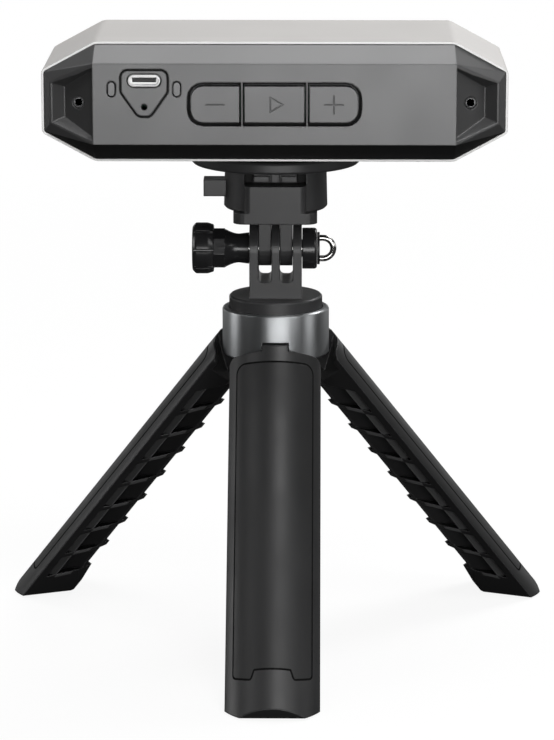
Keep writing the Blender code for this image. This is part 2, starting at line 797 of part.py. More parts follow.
def front_bezel(parent):
    """Front cap that frames the window, with one hole for each optical module."""
    rim = octagon(rim_thickness + GAP)
    face_half = scanner_height * HALF - rim_thickness - GAP - front_inset
    face_x = scanner_width * HALF - corner_across
    face = [(sa * face_x, scanner_middle + sb * face_half)
            for sa, sb in ((1, 1), (-1, 1), (-1, -1), (1, -1))]
    item = faceted_cap("front_bezel", rim, shell_front, face, front_face, shell_front - rebate_depth + GAP)
    window = rounded_polygon(rectangle(glass_half_width + GAP, glass_half_height + GAP,
                                       (0, scanner_middle)), glass_corner + GAP)
    cut(item, prism("window", window, glass_back - GAP, front_face + GAP, "Y"))
    for x, radius in ((-camera_x, camera_barrel), (camera_x, camera_barrel), (0, projector_barrel),
                      (colour_x, colour_barrel)):
        cut(item, cylinder("hole", radius + GAP, 0, front_face, "Y", (x, 0, scanner_middle)))
    for sx, sz in ((-1, -1), (-1, 1), (1, -1), (1, 1)):
        cut(item, cylinder("hole", lamp_radius + GAP, 0, front_face, "Y",
                           (lamp_x + sx * lamp_pitch, 0, scanner_middle + sz * lamp_pitch), SMALL_STEPS))
    return dress(item, BLACK_PLASTIC, 0.42, 0.0, pivot, parent)


def front_glass(parent):
    """Dark window plate in front of the optics."""
    outline = rounded_polygon(rectangle(glass_half_width, glass_half_height, (0, scanner_middle)),
                              glass_corner)
    item = prism("front_glass", outline, glass_back, glass_front, "Y")
    return dress(item, GLASS, 0.06, 0.0, pivot, parent)


def optical_module(name, x, barrel, lens, colour, parent):
    """Barrel that stands on the optical frame, with a stepped mouth and a domed lens inside."""
    lip = lens + lens_chamfer
    profile = [(barrel, frame_front + GAP), (barrel, barrel_front - HALF * lens_chamfer),
               (barrel - HALF * lens_chamfer, barrel_front), (lip, barrel_front),
               (lens, barrel_front - lens_chamfer), (lens, barrel_front - lens_depth)]
    steps = 5
    for k in range(1, steps):
        turn = math.pi / 2 * k / steps
        dome = HALF * lens_chamfer * math.sin(turn)
        profile.append((lens * math.cos(turn), barrel_front - lens_depth + dome))
    item = lathe(name, profile, "Y", (x, 0, scanner_middle), ROUND_STEPS)
    dress(item, colour, 0.25, 0.0, pivot, parent)


def fill_lamp_board(parent):
    """Small board on the optical frame with four domed fill lamps."""
    board = 2 * lamp_pitch
    item = box("fill_lamp_board", (lamp_x - board, frame_front + GAP, scanner_middle - board),
               (lamp_x + board, frame_front + board_thickness, scanner_middle + board))
    for sx, sz in ((-1, -1), (-1, 1), (1, -1), (1, 1)):
        profile = [(lamp_radius, frame_front + board_thickness - GAP),
                   (lamp_radius, barrel_front - lamp_radius * HALF)]
        steps = 4
        for k in range(1, steps):
            turn = math.pi / 2 * k / steps
            profile.append((lamp_radius * math.cos(turn),
                            barrel_front - lamp_radius * HALF * (1 - math.sin(turn))))
        add(item, lathe("lamp", profile, "Y",
                        (lamp_x + sx * lamp_pitch, 0, scanner_middle + sz * lamp_pitch), SMALL_STEPS))
    dress(item, LAMP_WHITE, 0.3, 0.0, pivot, parent)


frame_edge = 4.0 * MM
frame_ear_half = 7.0 * MM


def optical_frame(parent):
    """Plate across the sleeve that carries the optics, with an ear at each end."""
    half_w = scanner_width * HALF - corner_across - frame_edge
    half_h = scanner_height * HALF - wall_thickness - GAP
    item = box("optical_frame", (-half_w, frame_back, scanner_middle - half_h),
               (half_w, frame_front, scanner_middle + half_h))
    for side in (-1, 1):
        reach = scanner_width * HALF - wall_thickness - GAP
        near = side * (half_w - GAP)
        far = side * reach
        add(item, box("ear", (min(near, far), frame_back, scanner_middle - frame_ear_half),
                      (max(near, far), frame_front, scanner_middle + frame_ear_half)))
    return dress(item, STEEL, 0.4, 0.9, pivot, parent)


def main_board(parent):
    """Circuit board behind the keys, against the four posts of the rear cover."""
    item = box("main_board", (-board_half_width, board_front, scanner_middle - board_half_height),
               (board_half_width, board_front + board_thickness, scanner_middle + board_half_height))
    return dress(item, BOARD_GREEN, 0.45, 0.0, pivot, parent)


switch_half = 2.6 * MM
switch_clearance = 0.1 * MM
switch_front = key_plunger_tip + key_travel + switch_clearance


def button_switches(parent):
    """One push switch on the board behind each key."""
    for name, (low, high, _, _) in key_spans.items():
        x = (low + high) * HALF
        item = box(name.replace("button", "switch"),
                   (x - switch_half, switch_front, scanner_middle - switch_half),
                   (x + switch_half, board_front - GAP, scanner_middle + switch_half))
        dress(item, STEEL, 0.35, 0.8, pivot, parent)


def mounting_insert(parent):
    """Threaded bush on the floor of the sleeve that takes the mount screw."""
    low = scanner_bottom + wall_thickness + GAP
    bore = mount_screw_radius + GAP
    profile = [(insert_radius, low), (insert_radius, low + insert_height), (bore, low + insert_height),
               (bore, low)]
    item = lathe("mounting_insert", profile, "Z", (0, 0, 0), ROUND_STEPS, hollow=True)
    dress(item, BRASS, 0.35, 1.0, pivot, parent)


# quick-release mount
disc_radius = 24.1 * MM
disc_edge = 0.6 * MM
disc_web = 0.7 * MM
pad_setback = 0.9 * MM
pad_radius = disc_radius - pad_setback
boss_outer = 6.8 * MM
boss_wall = 1.4 * MM
boss_depth = 4.25 * MM
boss_inner = boss_outer - boss_wall
boss_bottom = release_top - boss_depth
screw_head_room = 0.4 * MM
screw_head_height = 2.3 * MM
screw_head_radius = boss_inner - screw_head_room
head_seat = disc_top - disc_web
screw_head_top = head_seat - GAP
screw_head_bottom = screw_head_top - screw_head_height
mount_screw_reach = 7.14 * MM
mount_screw_top = scanner_bottom + mount_screw_reach
coin_slot_half = 0.6 * MM
coin_slot_depth = 1.1 * MM
tongue_half = 6.1 * MM
tongue_spacing = 1.8 * MM
tongue_thickness = 1.4 * MM
tongue_rear_y = -(boss_outer + tongue_spacing)
tongue_front_y = tongue_rear_y - tongue_thickness
post_half = 1.1 * MM
post_depth = 1.6 * MM
post_front_y = tongue_front_y - post_depth
bar_gap = 0.65 * MM
bar_depth = 1.2 * MM
bar_height = 1.7 * MM
bar_inner = post_half + bar_gap
bar_front_y = tongue_front_y - bar_depth
bar_top = boss_bottom + GAP + bar_height

release_radius = 14.75 * MM
release_edge = 0.5 * MM
step_setback = 2.9 * MM
step_radius = release_radius - step_setback
counterbore = boss_outer + GAP
counterbore_floor = boss_bottom - GAP
block_half = 8.65 * MM
block_proud = 0.35 * MM
block_front = -(release_radius + block_proud)
block_top = counterbore_floor
block_corner = 1.6 * MM
foot_half = step_radius
foot_corner = 3.2 * MM
foot_top = release_bottom + release_edge
pocket_side = 0.1 * MM
pocket_clearance = 0.4 * MM
pocket_half = block_half + pocket_side
pocket_rear = tongue_rear_y + pocket_clearance

stem_half = 3.2 * MM
stem_height = 3.6 * MM
stem_cover = 0.9 * MM
stem_top = counterbore_floor - stem_cover
stem_bottom = stem_top - stem_height
tab_side = 0.2 * MM
tab_drop = 0.26 * MM
tab_height = 4.7 * MM
tab_sink = 1.15 * MM
tab_reach = 6.9 * MM
tab_half = stem_half + tab_side
tab_inner_x = -(release_radius - tab_sink)
tab_outer_x = tab_inner_x - tab_reach
tab_bottom = stem_bottom - tab_drop
tab_top = tab_bottom + tab_height
release_travel = 1.2 * MM
catch_half = 1.6 * MM
catch_reach = 1.0 * MM
catch_thickness = 1.9 * MM
nose_height = 1.4 * MM
window_lip = 0.9 * MM
catch_face_x = GAP - math.sqrt(boss_inner * boss_inner - catch_half * catch_half)
catch_nose_x = catch_face_x - catch_reach
catch_inner_x = catch_face_x + catch_thickness
nose_bottom = boss_bottom + window_lip + GAP
catch_top = nose_bottom + nose_height
stem_tail = 0.36 * MM
stem_end_x = catch_inner_x + stem_tail
spring_radius = 1.3 * MM
spring_wire = 0.2 * MM
spring_length = 6.7 * MM
spring_end_x = stem_end_x + GAP + spring_length
channel_end_x = spring_end_x + GAP


def mount_disc(parent):
    """Round plate under the scanner with a central tube and the latch tongue in the front pocket."""
    low = release_top + GAP
    profile = [(disc_radius - disc_edge, low), (disc_radius, low + disc_edge),
               (disc_radius, disc_top - disc_edge), (disc_radius - disc_edge, disc_top)]
    item = lathe("mount_disc", profile, "Z", (0, 0, 0), 2 * ROUND_STEPS)
    add(item, cylinder("boss", boss_outer, boss_bottom, low + disc_edge, "Z", (0, 0, 0)))
    cut(item, cylinder("head_room", boss_inner, boss_bottom - GAP, head_seat, "Z", (0, 0, 0)))
    cut(item, cylinder("bore", mount_screw_radius + GAP, boss_bottom, disc_top + GAP, "Z", (0, 0, 0)))
    cut(item, box("catch_window", (-boss_outer - GAP, -catch_half - GAP, nose_bottom - GAP),
                  (0, catch_half + GAP, catch_top + GAP)))
    add(item, box("tongue", (-tongue_half, tongue_front_y, boss_bottom + GAP),
                  (tongue_half, tongue_rear_y, low + disc_edge)))
    add(item, box("post", (-post_half, post_front_y, boss_bottom + GAP),
                  (post_half, tongue_rear_y, low + disc_edge)))
    for side in (-1, 1):
        add(item, box("bar", (min(side * bar_inner, side * tongue_half), bar_front_y, boss_bottom + GAP),
                      (max(side * bar_inner, side * tongue_half), tongue_rear_y, bar_top)))
    return dress(item, BLACK_PLASTIC, 0.42, 0.0, pivot, parent)


def mount_pad(parent):
    """Thin rubber ring between the disc and the scanner."""
    low = disc_top + GAP
    high = scanner_bottom - GAP
    bore = mount_screw_radius + 2 * GAP
    profile = [(pad_radius, low), (pad_radius, high), (bore, high), (bore, low)]
    item = lathe("mount_pad", profile, "Z", (0, 0, 0), 2 * ROUND_STEPS, hollow=True)
    dress(item, RUBBER, 0.85, 0.0, pivot, parent)


def mount_screw(parent):
    """Camera screw with a coin slot that clamps the scanner on the disc."""
    edge = GAP
    profile = [(screw_head_radius, screw_head_bottom), (screw_head_radius, screw_head_top),
               (mount_screw_radius, screw_head_top), (mount_screw_radius, mount_screw_top - edge),
               (mount_screw_radius - edge, mount_screw_top)]
    item = lathe("mount_screw", profile, "Z", (0, 0, 0))
    cut(item, box("coin_slot", (-boss_inner, -coin_slot_half, screw_head_bottom - GAP),
                  (boss_inner, coin_slot_half, screw_head_bottom + coin_slot_depth)))
    dress(item, STEEL, 0.3, 1.0, pivot, parent)


def quick_release_body(parent):
    """Round body with a front block, a pocket over it, a side channel and two clamp prongs."""
    profile = [(step_radius - release_edge, step_bottom), (step_radius, step_bottom + release_edge),
               (step_radius, release_bottom), (release_radius - release_edge, release_bottom),
               (release_radius, release_bottom + release_edge),
               (release_radius - release_taper, release_top)]
    item = lathe("quick_release_body", profile, "Z", (0, 0, 0), 2 * ROUND_STEPS)
    block = rounded_polygon([(-block_half, block_front), (block_half, block_front),
                             (block_half, 0), (-block_half, 0)], block_corner)
    add(item, prism("block", block, step_bottom, block_top))
    foot = rounded_polygon([(-foot_half, block_front), (foot_half, block_front),
                            (foot_half, foot_corner), (-foot_half, foot_corner)], foot_corner)
    add(item, prism("foot", foot, step_bottom, foot_top))
    cut(item, box("pocket", (-pocket_half, 2 * block_front, block_top),
                  (pocket_half, pocket_rear, disc_top)))
    cut(item, cylinder("counterbore", counterbore, counterbore_floor, disc_top, "Z", (0, 0, 0)))
    cut(item, box("channel", (2 * tab_outer_x, -stem_half - GAP, stem_bottom - GAP),
                  (channel_end_x, stem_half + GAP, stem_top + GAP)))
    cut(item, box("catch_way", (catch_face_x - GAP, -catch_half - GAP, stem_top),
                  (catch_inner_x + release_travel + GAP, catch_half + GAP, release_top)))
    room = tab_half + GAP
    cut(item, box("tab_room", (2 * tab_outer_x, -room, tab_bottom - GAP),
                  (tab_inner_x + release_travel + GAP, room, tab_top + GAP)))
    for side in (-1, 1):
        outline = [(prong_radius, step_bottom + GAP), (-prong_radius, step_bottom + GAP)]
        outline += arc((0, clamp_height), prong_radius, math.pi, TAU, SMALL_STEPS)
        half = slot_width * HALF - prong_side_gap
        prong = prism("prong", outline, side * slot_offset - half, side * slot_offset + half, "X")
        add(item, prong)
    cut(item, cylinder("bolt_hole", bolt_radius + GAP, -fork_width, fork_width, "X", (0, 0, clamp_height)))
    return dress(item, BLACK_PLASTIC, 0.45, 0.0, pivot, parent)


release_taper = 0.3 * MM
prong_side_gap = 0.42 * MM


def release_slide(parent):
    """Side tab with a stem and a catch; pressing it draws the nose out of the window of the disc."""
    item = box("release_slide", (tab_outer_x, -tab_half, tab_bottom), (tab_inner_x, tab_half, tab_top))
    add(item, box("stem", (tab_inner_x - GAP, -stem_half, stem_bottom), (stem_end_x, stem_half, stem_top)))
    add(item, box("catch", (catch_face_x, -catch_half, stem_top - GAP),
                  (catch_inner_x, catch_half, catch_top)))
    add(item, box("nose", (catch_nose_x, -catch_half, nose_bottom),
                  (catch_face_x + GAP, catch_half, catch_top)))
    middle = ((tab_outer_x + tab_inner_x) * HALF, 0, (stem_bottom + stem_top) * HALF)
    return dress(item, BLACK_PLASTIC, 0.42, 0.0, middle, parent)


def wire_ring(centre, out, side, radius, sides):
    """Points of one cross-section of a round wire."""
    ring = []
    for j in range(sides):
        angle = TAU * j / sides
        ring.append(centre + radius * (out * math.cos(angle) + side * math.sin(angle)))
    return ring


def release_spring(parent):
    """Coil spring between the stem and the end of its channel."""
    turns = 4
    per_turn = 10
    sides = 5
    start = stem_end_x + GAP
    middle = (stem_bottom + stem_top) * HALF
    rings = []
    for k in range(turns * per_turn + 1):
        angle = TAU * k / per_turn
        x = start + spring_wire + (spring_end_x - start - 2 * spring_wire) * k / (turns * per_turn)
        out = Vector((0, math.cos(angle), math.sin(angle)))
        side = Vector((1, 0, 0))
        centre = Vector((x, 0, middle)) + out * spring_radius
        rings.append(wire_ring(centre, out, side, spring_wire, sides))
    dress(loft("release_spring", rings), STEEL, 0.3, 1.0, pivot, parent)


# clamp joint
knob_waist_wall = 2.05 * MM
knob_neck_step = 1.13 * MM
knob_grip_step = 1.62 * MM
knob_nose_length = 2.45 * MM
knob_waist_length = 4.0 * MM
knob_neck_length = 3.5 * MM
knob_grip_length = 6.1 * MM
knob_waist_radius = bolt_radius + knob_waist_wall
knob_neck_radius = knob_waist_radius + knob_neck_step
knob_radius = knob_neck_radius + knob_grip_step
knob_tip_x = -(fork_width * HALF + GAP)
knob_waist_x = knob_tip_x - knob_nose_length
knob_neck_x = knob_waist_x - knob_waist_length
knob_shoulder_x = knob_neck_x - knob_neck_length
knob_end_x = knob_shoulder_x - knob_grip_length
knob_chamfer = 0.7 * MM
knob_notches = 8
knob_notch_half = 0.55 * MM
knob_notch_depth = 0.75 * MM
knob_end_wall = 2.4 * MM
bolt_end_room = 0.4 * MM
knob_bore_end = knob_end_x + knob_end_wall
bolt_start_x = knob_bore_end + bolt_end_room
cap_length = 3.8 * MM
cap_edge = 0.5 * MM
cap_end_wall = 0.65 * MM
cap_radius = 5.88 * MM
cap_start_x = fork_width * HALF + GAP
cap_end_x = cap_start_x + cap_length
bolt_setback = 0.1 * MM
bolt_end_x = cap_end_x - bolt_setback
nut_side_wall = 1.88 * MM
nut_flats_half = cap_radius - nut_side_wall
nut_start_x = cap_start_x + GAP
nut_end_x = cap_end_x - cap_end_wall - GAP
washer_thickness = 0.75 * MM
washer_setback = 1.23 * MM
washer_start_x = cap_end_x + GAP
washer_end_x = washer_start_x + washer_thickness
washer_radius = cap_radius - washer_setback
ring_wire = 0.875 * MM
ring_edge = 1.67 * MM
ring_leg = 0.9 * MM
ring_half = washer_radius - ring_edge
ring_bend_x = washer_end_x + ring_leg


def thumb_knob():
    """Knob with eight grip notches, a neck and a waisted nose, bored for the bolt."""
    waist = 6
    profile = [(knob_radius - knob_chamfer, knob_end_x), (knob_radius, knob_end_x + knob_chamfer),
               (knob_radius, knob_shoulder_x - knob_chamfer), (knob_radius - knob_chamfer, knob_shoulder_x),
               (knob_neck_radius, knob_shoulder_x), (knob_neck_radius, knob_neck_x)]
    for k in range(1, waist + 1):
        share = k / waist
        drop = math.sin(share * math.pi / 2)
        x = knob_neck_x + (knob_waist_x - knob_neck_x) * share
        profile.append((knob_neck_radius + (knob_waist_radius - knob_neck_radius) * drop, x))
    profile.append((knob_waist_radius, knob_tip_x))
    item = lathe("thumb_knob", profile, "X", (0, 0, clamp_height), 2 * ROUND_STEPS)
    notches = []
    for k in range(knob_notches):
        angle = TAU * (k + HALF) / knob_notches + knob_phase
        outline = []
        for a, b in ((knob_radius - knob_notch_depth, -knob_notch_half * HALF),
                     (2 * knob_radius, -2 * knob_notch_half), (2 * knob_radius, 2 * knob_notch_half),
                     (knob_radius - knob_notch_depth, knob_notch_half * HALF)):
            outline.append((a * math.cos(angle) - b * math.sin(angle),
                            clamp_height + a * math.sin(angle) + b * math.cos(angle)))
        notches.append(prism("notch", outline, 2 * knob_end_x, knob_shoulder_x + GAP, "X"))
    for notch in notches:
        cut(item, notch)
    cut(item, cylinder("bore", bolt_radius + GAP, knob_bore_end, 0, "X", (0, 0, clamp_height)))
    return dress(item, BLACK_PLASTIC, 0.4, 0.0, pivot)


knob_phase = math.radians(-6)


def clamp_bolt(parent):
    """Threaded bolt of the knob, through the fork and into the nut."""
    item = cylinder("clamp_bolt", bolt_radius, bolt_start_x, bolt_end_x, "X", (0, 0, clamp_height))
    return dress(item, STEEL, 0.3, 1.0, pivot, parent)


def hexagon(flats_half):
    """Outline of a hexagon about the clamp axis."""
    radius = flats_half / math.cos(math.pi / 6)
    return [(a, clamp_height + b) for a, b in arc((0, 0), radius, 0, TAU * 5 / 6, 5)]


def nut_group():
    """Cap with the hexagon nut inside, the end washer and the wire ring."""
    profile = [(cap_radius, cap_start_x), (cap_radius, cap_end_x - cap_edge),
               (cap_radius - cap_edge, cap_end_x)]
    cap = lathe("nut_cap", profile, "X", (0, 0, clamp_height), 2 * ROUND_STEPS)
    cut(cap, prism("nut_pocket", hexagon(nut_flats_half + GAP), 0, nut_end_x + GAP, "X"))
    cut(cap, cylinder("bolt_hole", bolt_radius + GAP, 0, fork_width, "X", (0, 0, clamp_height)))
    dress(cap, BLACK_PLASTIC, 0.42, 0.0, pivot)
    nut = prism("clamp_nut", hexagon(nut_flats_half), nut_start_x, nut_end_x, "X")
    cut(nut, cylinder("thread", bolt_radius + GAP, 0, fork_width, "X", (0, 0, clamp_height)))
    dress(nut, STEEL, 0.35, 1.0, pivot)
    washer = cylinder("end_washer", washer_radius, washer_start_x, washer_end_x, "X", (0, 0, clamp_height))
    for side in (-1, 1):
        cut(washer, cylinder("socket", ring_wire + GAP, cap_start_x, fork_width, "X",
                             (0, 0, clamp_height + side * ring_half), SMALL_STEPS))
    dress(washer, BLACK_PLASTIC, 0.4, 0.0, pivot)
    rings = []
    sides = 12
    bend = 14
    path = [(washer_start_x, ring_half, 0)]
    for k in range(bend + 1):
        turn = math.pi / 2 - math.pi * k / bend
        path.append((ring_bend_x + ring_half * math.cos(turn), ring_half * math.sin(turn),
                     math.pi / 2 - turn))
    path.append((washer_start_x, -ring_half, math.pi))
    for x, z, heading in path:
        out = Vector((math.sin(heading), 0, math.cos(heading)))
        side = Vector((0, 1, 0))
        centre = Vector((x, 0, clamp_height + z))
        rings.append(wire_ring(centre, out, side, ring_wire, sides))
    dress(loft("tether_ring", rings), STEEL, 0.12, 1.0, pivot)


# tripod head
fork_plate_setback = 1.95 * MM
fork_plate_sink = 0.7 * MM
fork_plate_edge = 0.45 * MM
fork_plate_radius = collar_radius - fork_plate_setback
fork_plate_bottom = collar_top - fork_plate_sink
slot_floor_rise = 4.6 * MM
slot_floor = fork_plate_top + slot_floor_rise
slot_corner = 1.3 * MM
tab_width_half = 3.65 * MM
notch_half = tab_width_half + GAP
notch_rise = 0.33 * MM
notch_top = leg_pivot_height + notch_rise
collar_chamfer = 0.8 * MM
collar_low_chamfer = 0.5 * MM
hub_setback = 0.4 * MM
hub_slot_side = 0.2 * MM
hub_slot_room = 0.48 * MM
hub_radius = collar_radius - collar_wall - GAP
hub_bottom = collar_bottom + hub_setback
hub_top = fork_plate_bottom - GAP
hub_slot_half = notch_half + hub_slot_side
hub_slot_start = leg_pivot_radius - knuckle_radius - GAP
hub_slot_top = leg_pivot_height + knuckle_radius + hub_slot_room
pin_radius = 1.0 * MM
pin_end_inset = 1.56 * MM
pin_half = math.sqrt(hub_radius * hub_radius - leg_pivot_radius * leg_pivot_radius) - pin_end_inset
hub_screw_radius = 1.5 * MM
hub_screw_head = 3.2 * MM
hub_screw_head_height = 2.3 * MM
hub_screw_setback = 0.6 * MM
hub_screw_reach = 2.1 * MM
hub_screw_low = hub_bottom + hub_screw_setback
hub_screw_seat = hub_screw_low + hub_screw_head_height + GAP
hub_screw_top = fork_plate_top + hub_screw_reach


def fork_head():
    """Three-prong fork standing on its round plate, one moulding."""
    profile = [(fork_plate_radius, fork_plate_bottom), (fork_plate_radius, fork_plate_top - fork_plate_edge),
               (fork_plate_radius - fork_plate_edge, fork_plate_top)]
    item = lathe("fork_head", profile, "Z", (0, 0, 0), 2 * ROUND_STEPS)
    root = fork_plate_top - fork_plate_edge
    outline = [(-fork_radius, root), (fork_radius, root)]
    outline += arc((0, clamp_height), fork_radius, 0, math.pi, 2 * SMALL_STEPS)
    add(item, prism("fork", outline, -fork_width * HALF, fork_width * HALF, "X"))
    for side in (-1, 1):
        half = slot_width * HALF
        x = side * slot_offset
        slot = [(x + half, slot_floor + 2 * fork_width), (x - half, slot_floor + 2 * fork_width)]
        slot += arc((x - half + slot_corner, slot_floor + slot_corner), slot_corner, math.pi,
                    3 * math.pi / 2, CORNER_STEPS)
        slot += arc((x + half - slot_corner, slot_floor + slot_corner), slot_corner, -math.pi / 2, 0,
                    CORNER_STEPS)
        cut(item, prism("slot", slot, -fork_width, fork_width, "Y"))
    cut(item, cylinder("bolt_hole", bolt_radius + GAP, -fork_width, fork_width, "X", (0, 0, clamp_height)))
    cut(item, cylinder("screw_hole", hub_screw_radius + GAP, hub_bottom, hub_screw_top + GAP, "Z",
                       (0, 0, 0)))
    return dress(item, BLACK_PLASTIC, 0.42, 0.0, pivot)


def radial_box(name, azimuth, half, start, end, low, high):
    """Box that runs outward along a leg direction."""
    out = outward(azimuth)
    across = sideways(azimuth)
    corners = ((start, -half), (end, -half), (end, half), (start, half))
    outline = [tuple((out * r + across * w)[:2]) for r, w in corners]
    return prism(name, outline, low, high)


def outward(azimuth):
    """Unit vector from the tripod axis along a leg direction; zero points to minus Y."""
    return Vector((-math.sin(azimuth), -math.cos(azimuth), 0))


def sideways(azimuth):
    """Unit vector across a leg direction."""
    return Vector((math.cos(azimuth), -math.sin(azimuth), 0))


def collar():
    """Metal ring around the hub with a notch over each leg."""
    inner = collar_radius - collar_wall
    profile = [(collar_radius - collar_low_chamfer, collar_bottom),
               (collar_radius, collar_bottom + collar_low_chamfer),
               (collar_radius, collar_top - collar_chamfer), (collar_radius - collar_chamfer, collar_top),
               (inner, collar_top), (inner, collar_bottom)]
    item = lathe("collar", profile, "Z", (0, 0, 0), 2 * ROUND_STEPS, hollow=True)
    for azimuth in leg_directions.values():
        cut(item, radial_box("notch", azimuth, notch_half, hub_slot_start, 2 * collar_radius,
                             collar_bottom - GAP, notch_top))
    return dress(item, COLLAR_METAL, 0.22, 1.0)


def hub_pin(azimuth, radius, half):
    """Cylinder across a leg direction at the hinge of that leg."""
    centre = outward(azimuth) * leg_pivot_radius + Vector((0, 0, leg_pivot_height))
    item = cylinder("pin", radius, -half, half, "X", (0, 0, 0), SMALL_STEPS)
    across = sideways(azimuth)
    item.data.transform(Matrix.Translation(centre) @ Matrix.Rotation(math.atan2(across.y, across.x), 4, "Z"))
    return item


def hub():
    """Core of the tripod head with three slots for the leg knuckles."""
    item = cylinder("hub", hub_radius, hub_bottom, hub_top, "Z", (0, 0, 0), 2 * ROUND_STEPS)
    for azimuth in leg_directions.values():
        cut(item, radial_box("slot", azimuth, hub_slot_half, hub_slot_start, 2 * hub_radius,
                             hub_bottom - GAP, hub_slot_top))
        cut(item, hub_pin(azimuth, pin_radius + GAP, pin_half + GAP))
    cut(item, cylinder("screw_hole", hub_screw_radius + GAP, hub_bottom - GAP, hub_top + GAP, "Z", (0, 0, 0),
                       SMALL_STEPS))
    cut(item, cylinder("head_room", hub_screw_head + GAP, hub_bottom - GAP, hub_screw_seat, "Z", (0, 0, 0)))
    return dress(item, BLACK_PLASTIC, 0.5, 0.0)


def hinge_pins():
    """The three hinge pins, fixed in the hub."""
    for label, azimuth in leg_directions.items():
        dress(rename(hub_pin(azimuth, pin_radius, pin_half), "hinge_pin_" + label), STEEL, 0.3, 1.0)


def hub_screw():
    """Screw from below that holds the fork head on the hub."""
    seat = hub_screw_seat - GAP
    profile = [(hub_screw_head, hub_screw_low), (hub_screw_head, seat), (hub_screw_radius, seat),
               (hub_screw_radius, hub_screw_top)]
    item = lathe("hub_screw", profile, "Z", (0, 0, 0), ROUND_STEPS)
    cut(item, cross_cutter(0, 0, hub_screw_low, 2 * cross_depth, 2 * cross_length, 2 * cross_width, "Z"))
    dress(item, STEEL, 0.3, 1.0)


# legs
side_gap = 0.18 * MM
leg_inner = 2.7 * MM
shoulder_room = 1.08 * MM
shoulder_drop = collar_below_pivot + shoulder_room
shoulder_slope = 0.6
sole_clear = 0.3 * MM
skin_thickness = 2.5 * MM
shoulder_wall = 2.0 * MM
shoulder_corner = 2.9 * MM
shoulder_lean = 0.1
shoulder_rise = 1.2 * MM
shoulder_bevel = 1.6 * MM
shoulder_over = 4.0 * MM
web_thickness_half = 0.9 * MM
rib_thickness = 1.9 * MM
rib_slope = 1.31
rib_pockets = 8
pocket_overrun = math.radians(14)
pocket_steps = 6
heel_inner = 0.7 * MM
heel_join = 3.4 * MM
toe_width = 2.9 * MM
toe_inner = leg_radius - toe_width
toe_rise = 1.5 * MM
tab_root = 9.5 * MM
tab_depth = shoulder_drop + tab_root
inlay_half_angle = math.radians(45.6)
inlay_shoulder = 3.6 * MM
inlay_top = shoulder_drop + inlay_shoulder
inlay_notch = 2.7 * MM
inlay_notch_angle = math.radians(19)
inlay_notch_blend = math.radians(5.0)
inlay_corner = 2.8 * MM
inlay_top_slope = 0.2
inlay_foot_slope = 0.5
inlay_foot_corner = 0.9 * MM
inlay_thickness = 0.9 * MM
pad_inset = 1.3 * MM
pad_depth = 1.3 * MM
pad_inner = 4.1 * MM
arc_steps = 18


def sole_height(t):
    """Distance below the pivot of the floor plane at radius t of a leg, legs spread."""
    rise = leg_pivot_height + (t - leg_pivot_radius) * math.sin(leg_splay)
    return rise / math.cos(leg_splay)


heel_height = 12.57 * MM
heel_block = 4.9 * MM
inlay_foot = 13.36 * MM
rib_shoulder = 5.7 * MM
rib_overrun = 0.2 * MM
heel_start = sole_height(leg_inner) - heel_height
heel_end = sole_height(heel_inner) - heel_block
inlay_bottom = sole_height(leg_radius) - inlay_foot
rib_start = shoulder_drop + rib_shoulder
rib_pitch = (heel_start + rib_overrun - rib_start) / rib_pockets


def leg_point(t, lateral, s):
    """Leg-frame point: t outward from the tripod axis, s down from the pivot."""
    return (lateral, leg_pivot_radius - t, -s)


def leg_prism(name, section, top, bottom):
    """Prism of a cross-section (t, lateral) between two heights that may change with t."""
    rings = [[leg_point(t, w, top(t)) for t, w in section], [leg_point(t, w, bottom(t)) for t, w in section]]
    return loft(name, rings)


def sector_section(radius, inner, inset):
    """Cross-section of one leg: a sector of the round grip with its point cut off."""
    half = leg_sector * HALF
    edge = half - math.asin(inset / radius)
    out = arc((0, 0), radius, -edge, edge, arc_steps)
    width = inner * math.tan(half) - inset / math.cos(half)
    return out + [(inner, width), (inner, -width)]


def leg_tab():
    """Hinge tab with the knuckle; its outer side follows the round of the leg."""
    columns = 6
    top_turn = -leg_splay
    rings = []
    for i in range(columns + 1):
        w = -tab_width_half + 2 * tab_width_half * i / columns
        reach = math.sqrt(leg_radius * leg_radius - w * w) - leg_pivot_radius
        ring = [(reach, tab_depth), (reach, reach * math.tan(leg_splay))]
        ring += [(a, -b) for a, b in arc((0, 0), knuckle_radius, top_turn, math.pi, 2 * CORNER_STEPS + 4)]
        ring += [(-knuckle_radius, tab_depth)]
        rings.append([leg_point(leg_pivot_radius + a, w, s) for a, s in ring])
    return loft("leg_tab", rings)


def rib_pockets_shape():
    """All pockets of both sides: slanted prisms between the middle web and the outer skin."""
    inner = leg_radius - skin_thickness
    start = math.asin(web_thickness_half / inner)
    end = leg_sector * HALF + pocket_overrun
    section = arc((0, 0), inner, start, end, pocket_steps)
    section += [(-leg_inner, inner), (-leg_inner, web_thickness_half)]
    shapes = []
    for side in (-1, 1):
        for k in range(rib_pockets):
            base = rib_start + rib_pitch * k
            shapes.append(leg_prism("pocket", [(t, side * w) for t, w in section],
                                    lambda t: base + rib_slope * t,
                                    lambda t: base + rib_pitch - rib_thickness + rib_slope * t))
    return merged("rib_pockets", shapes)


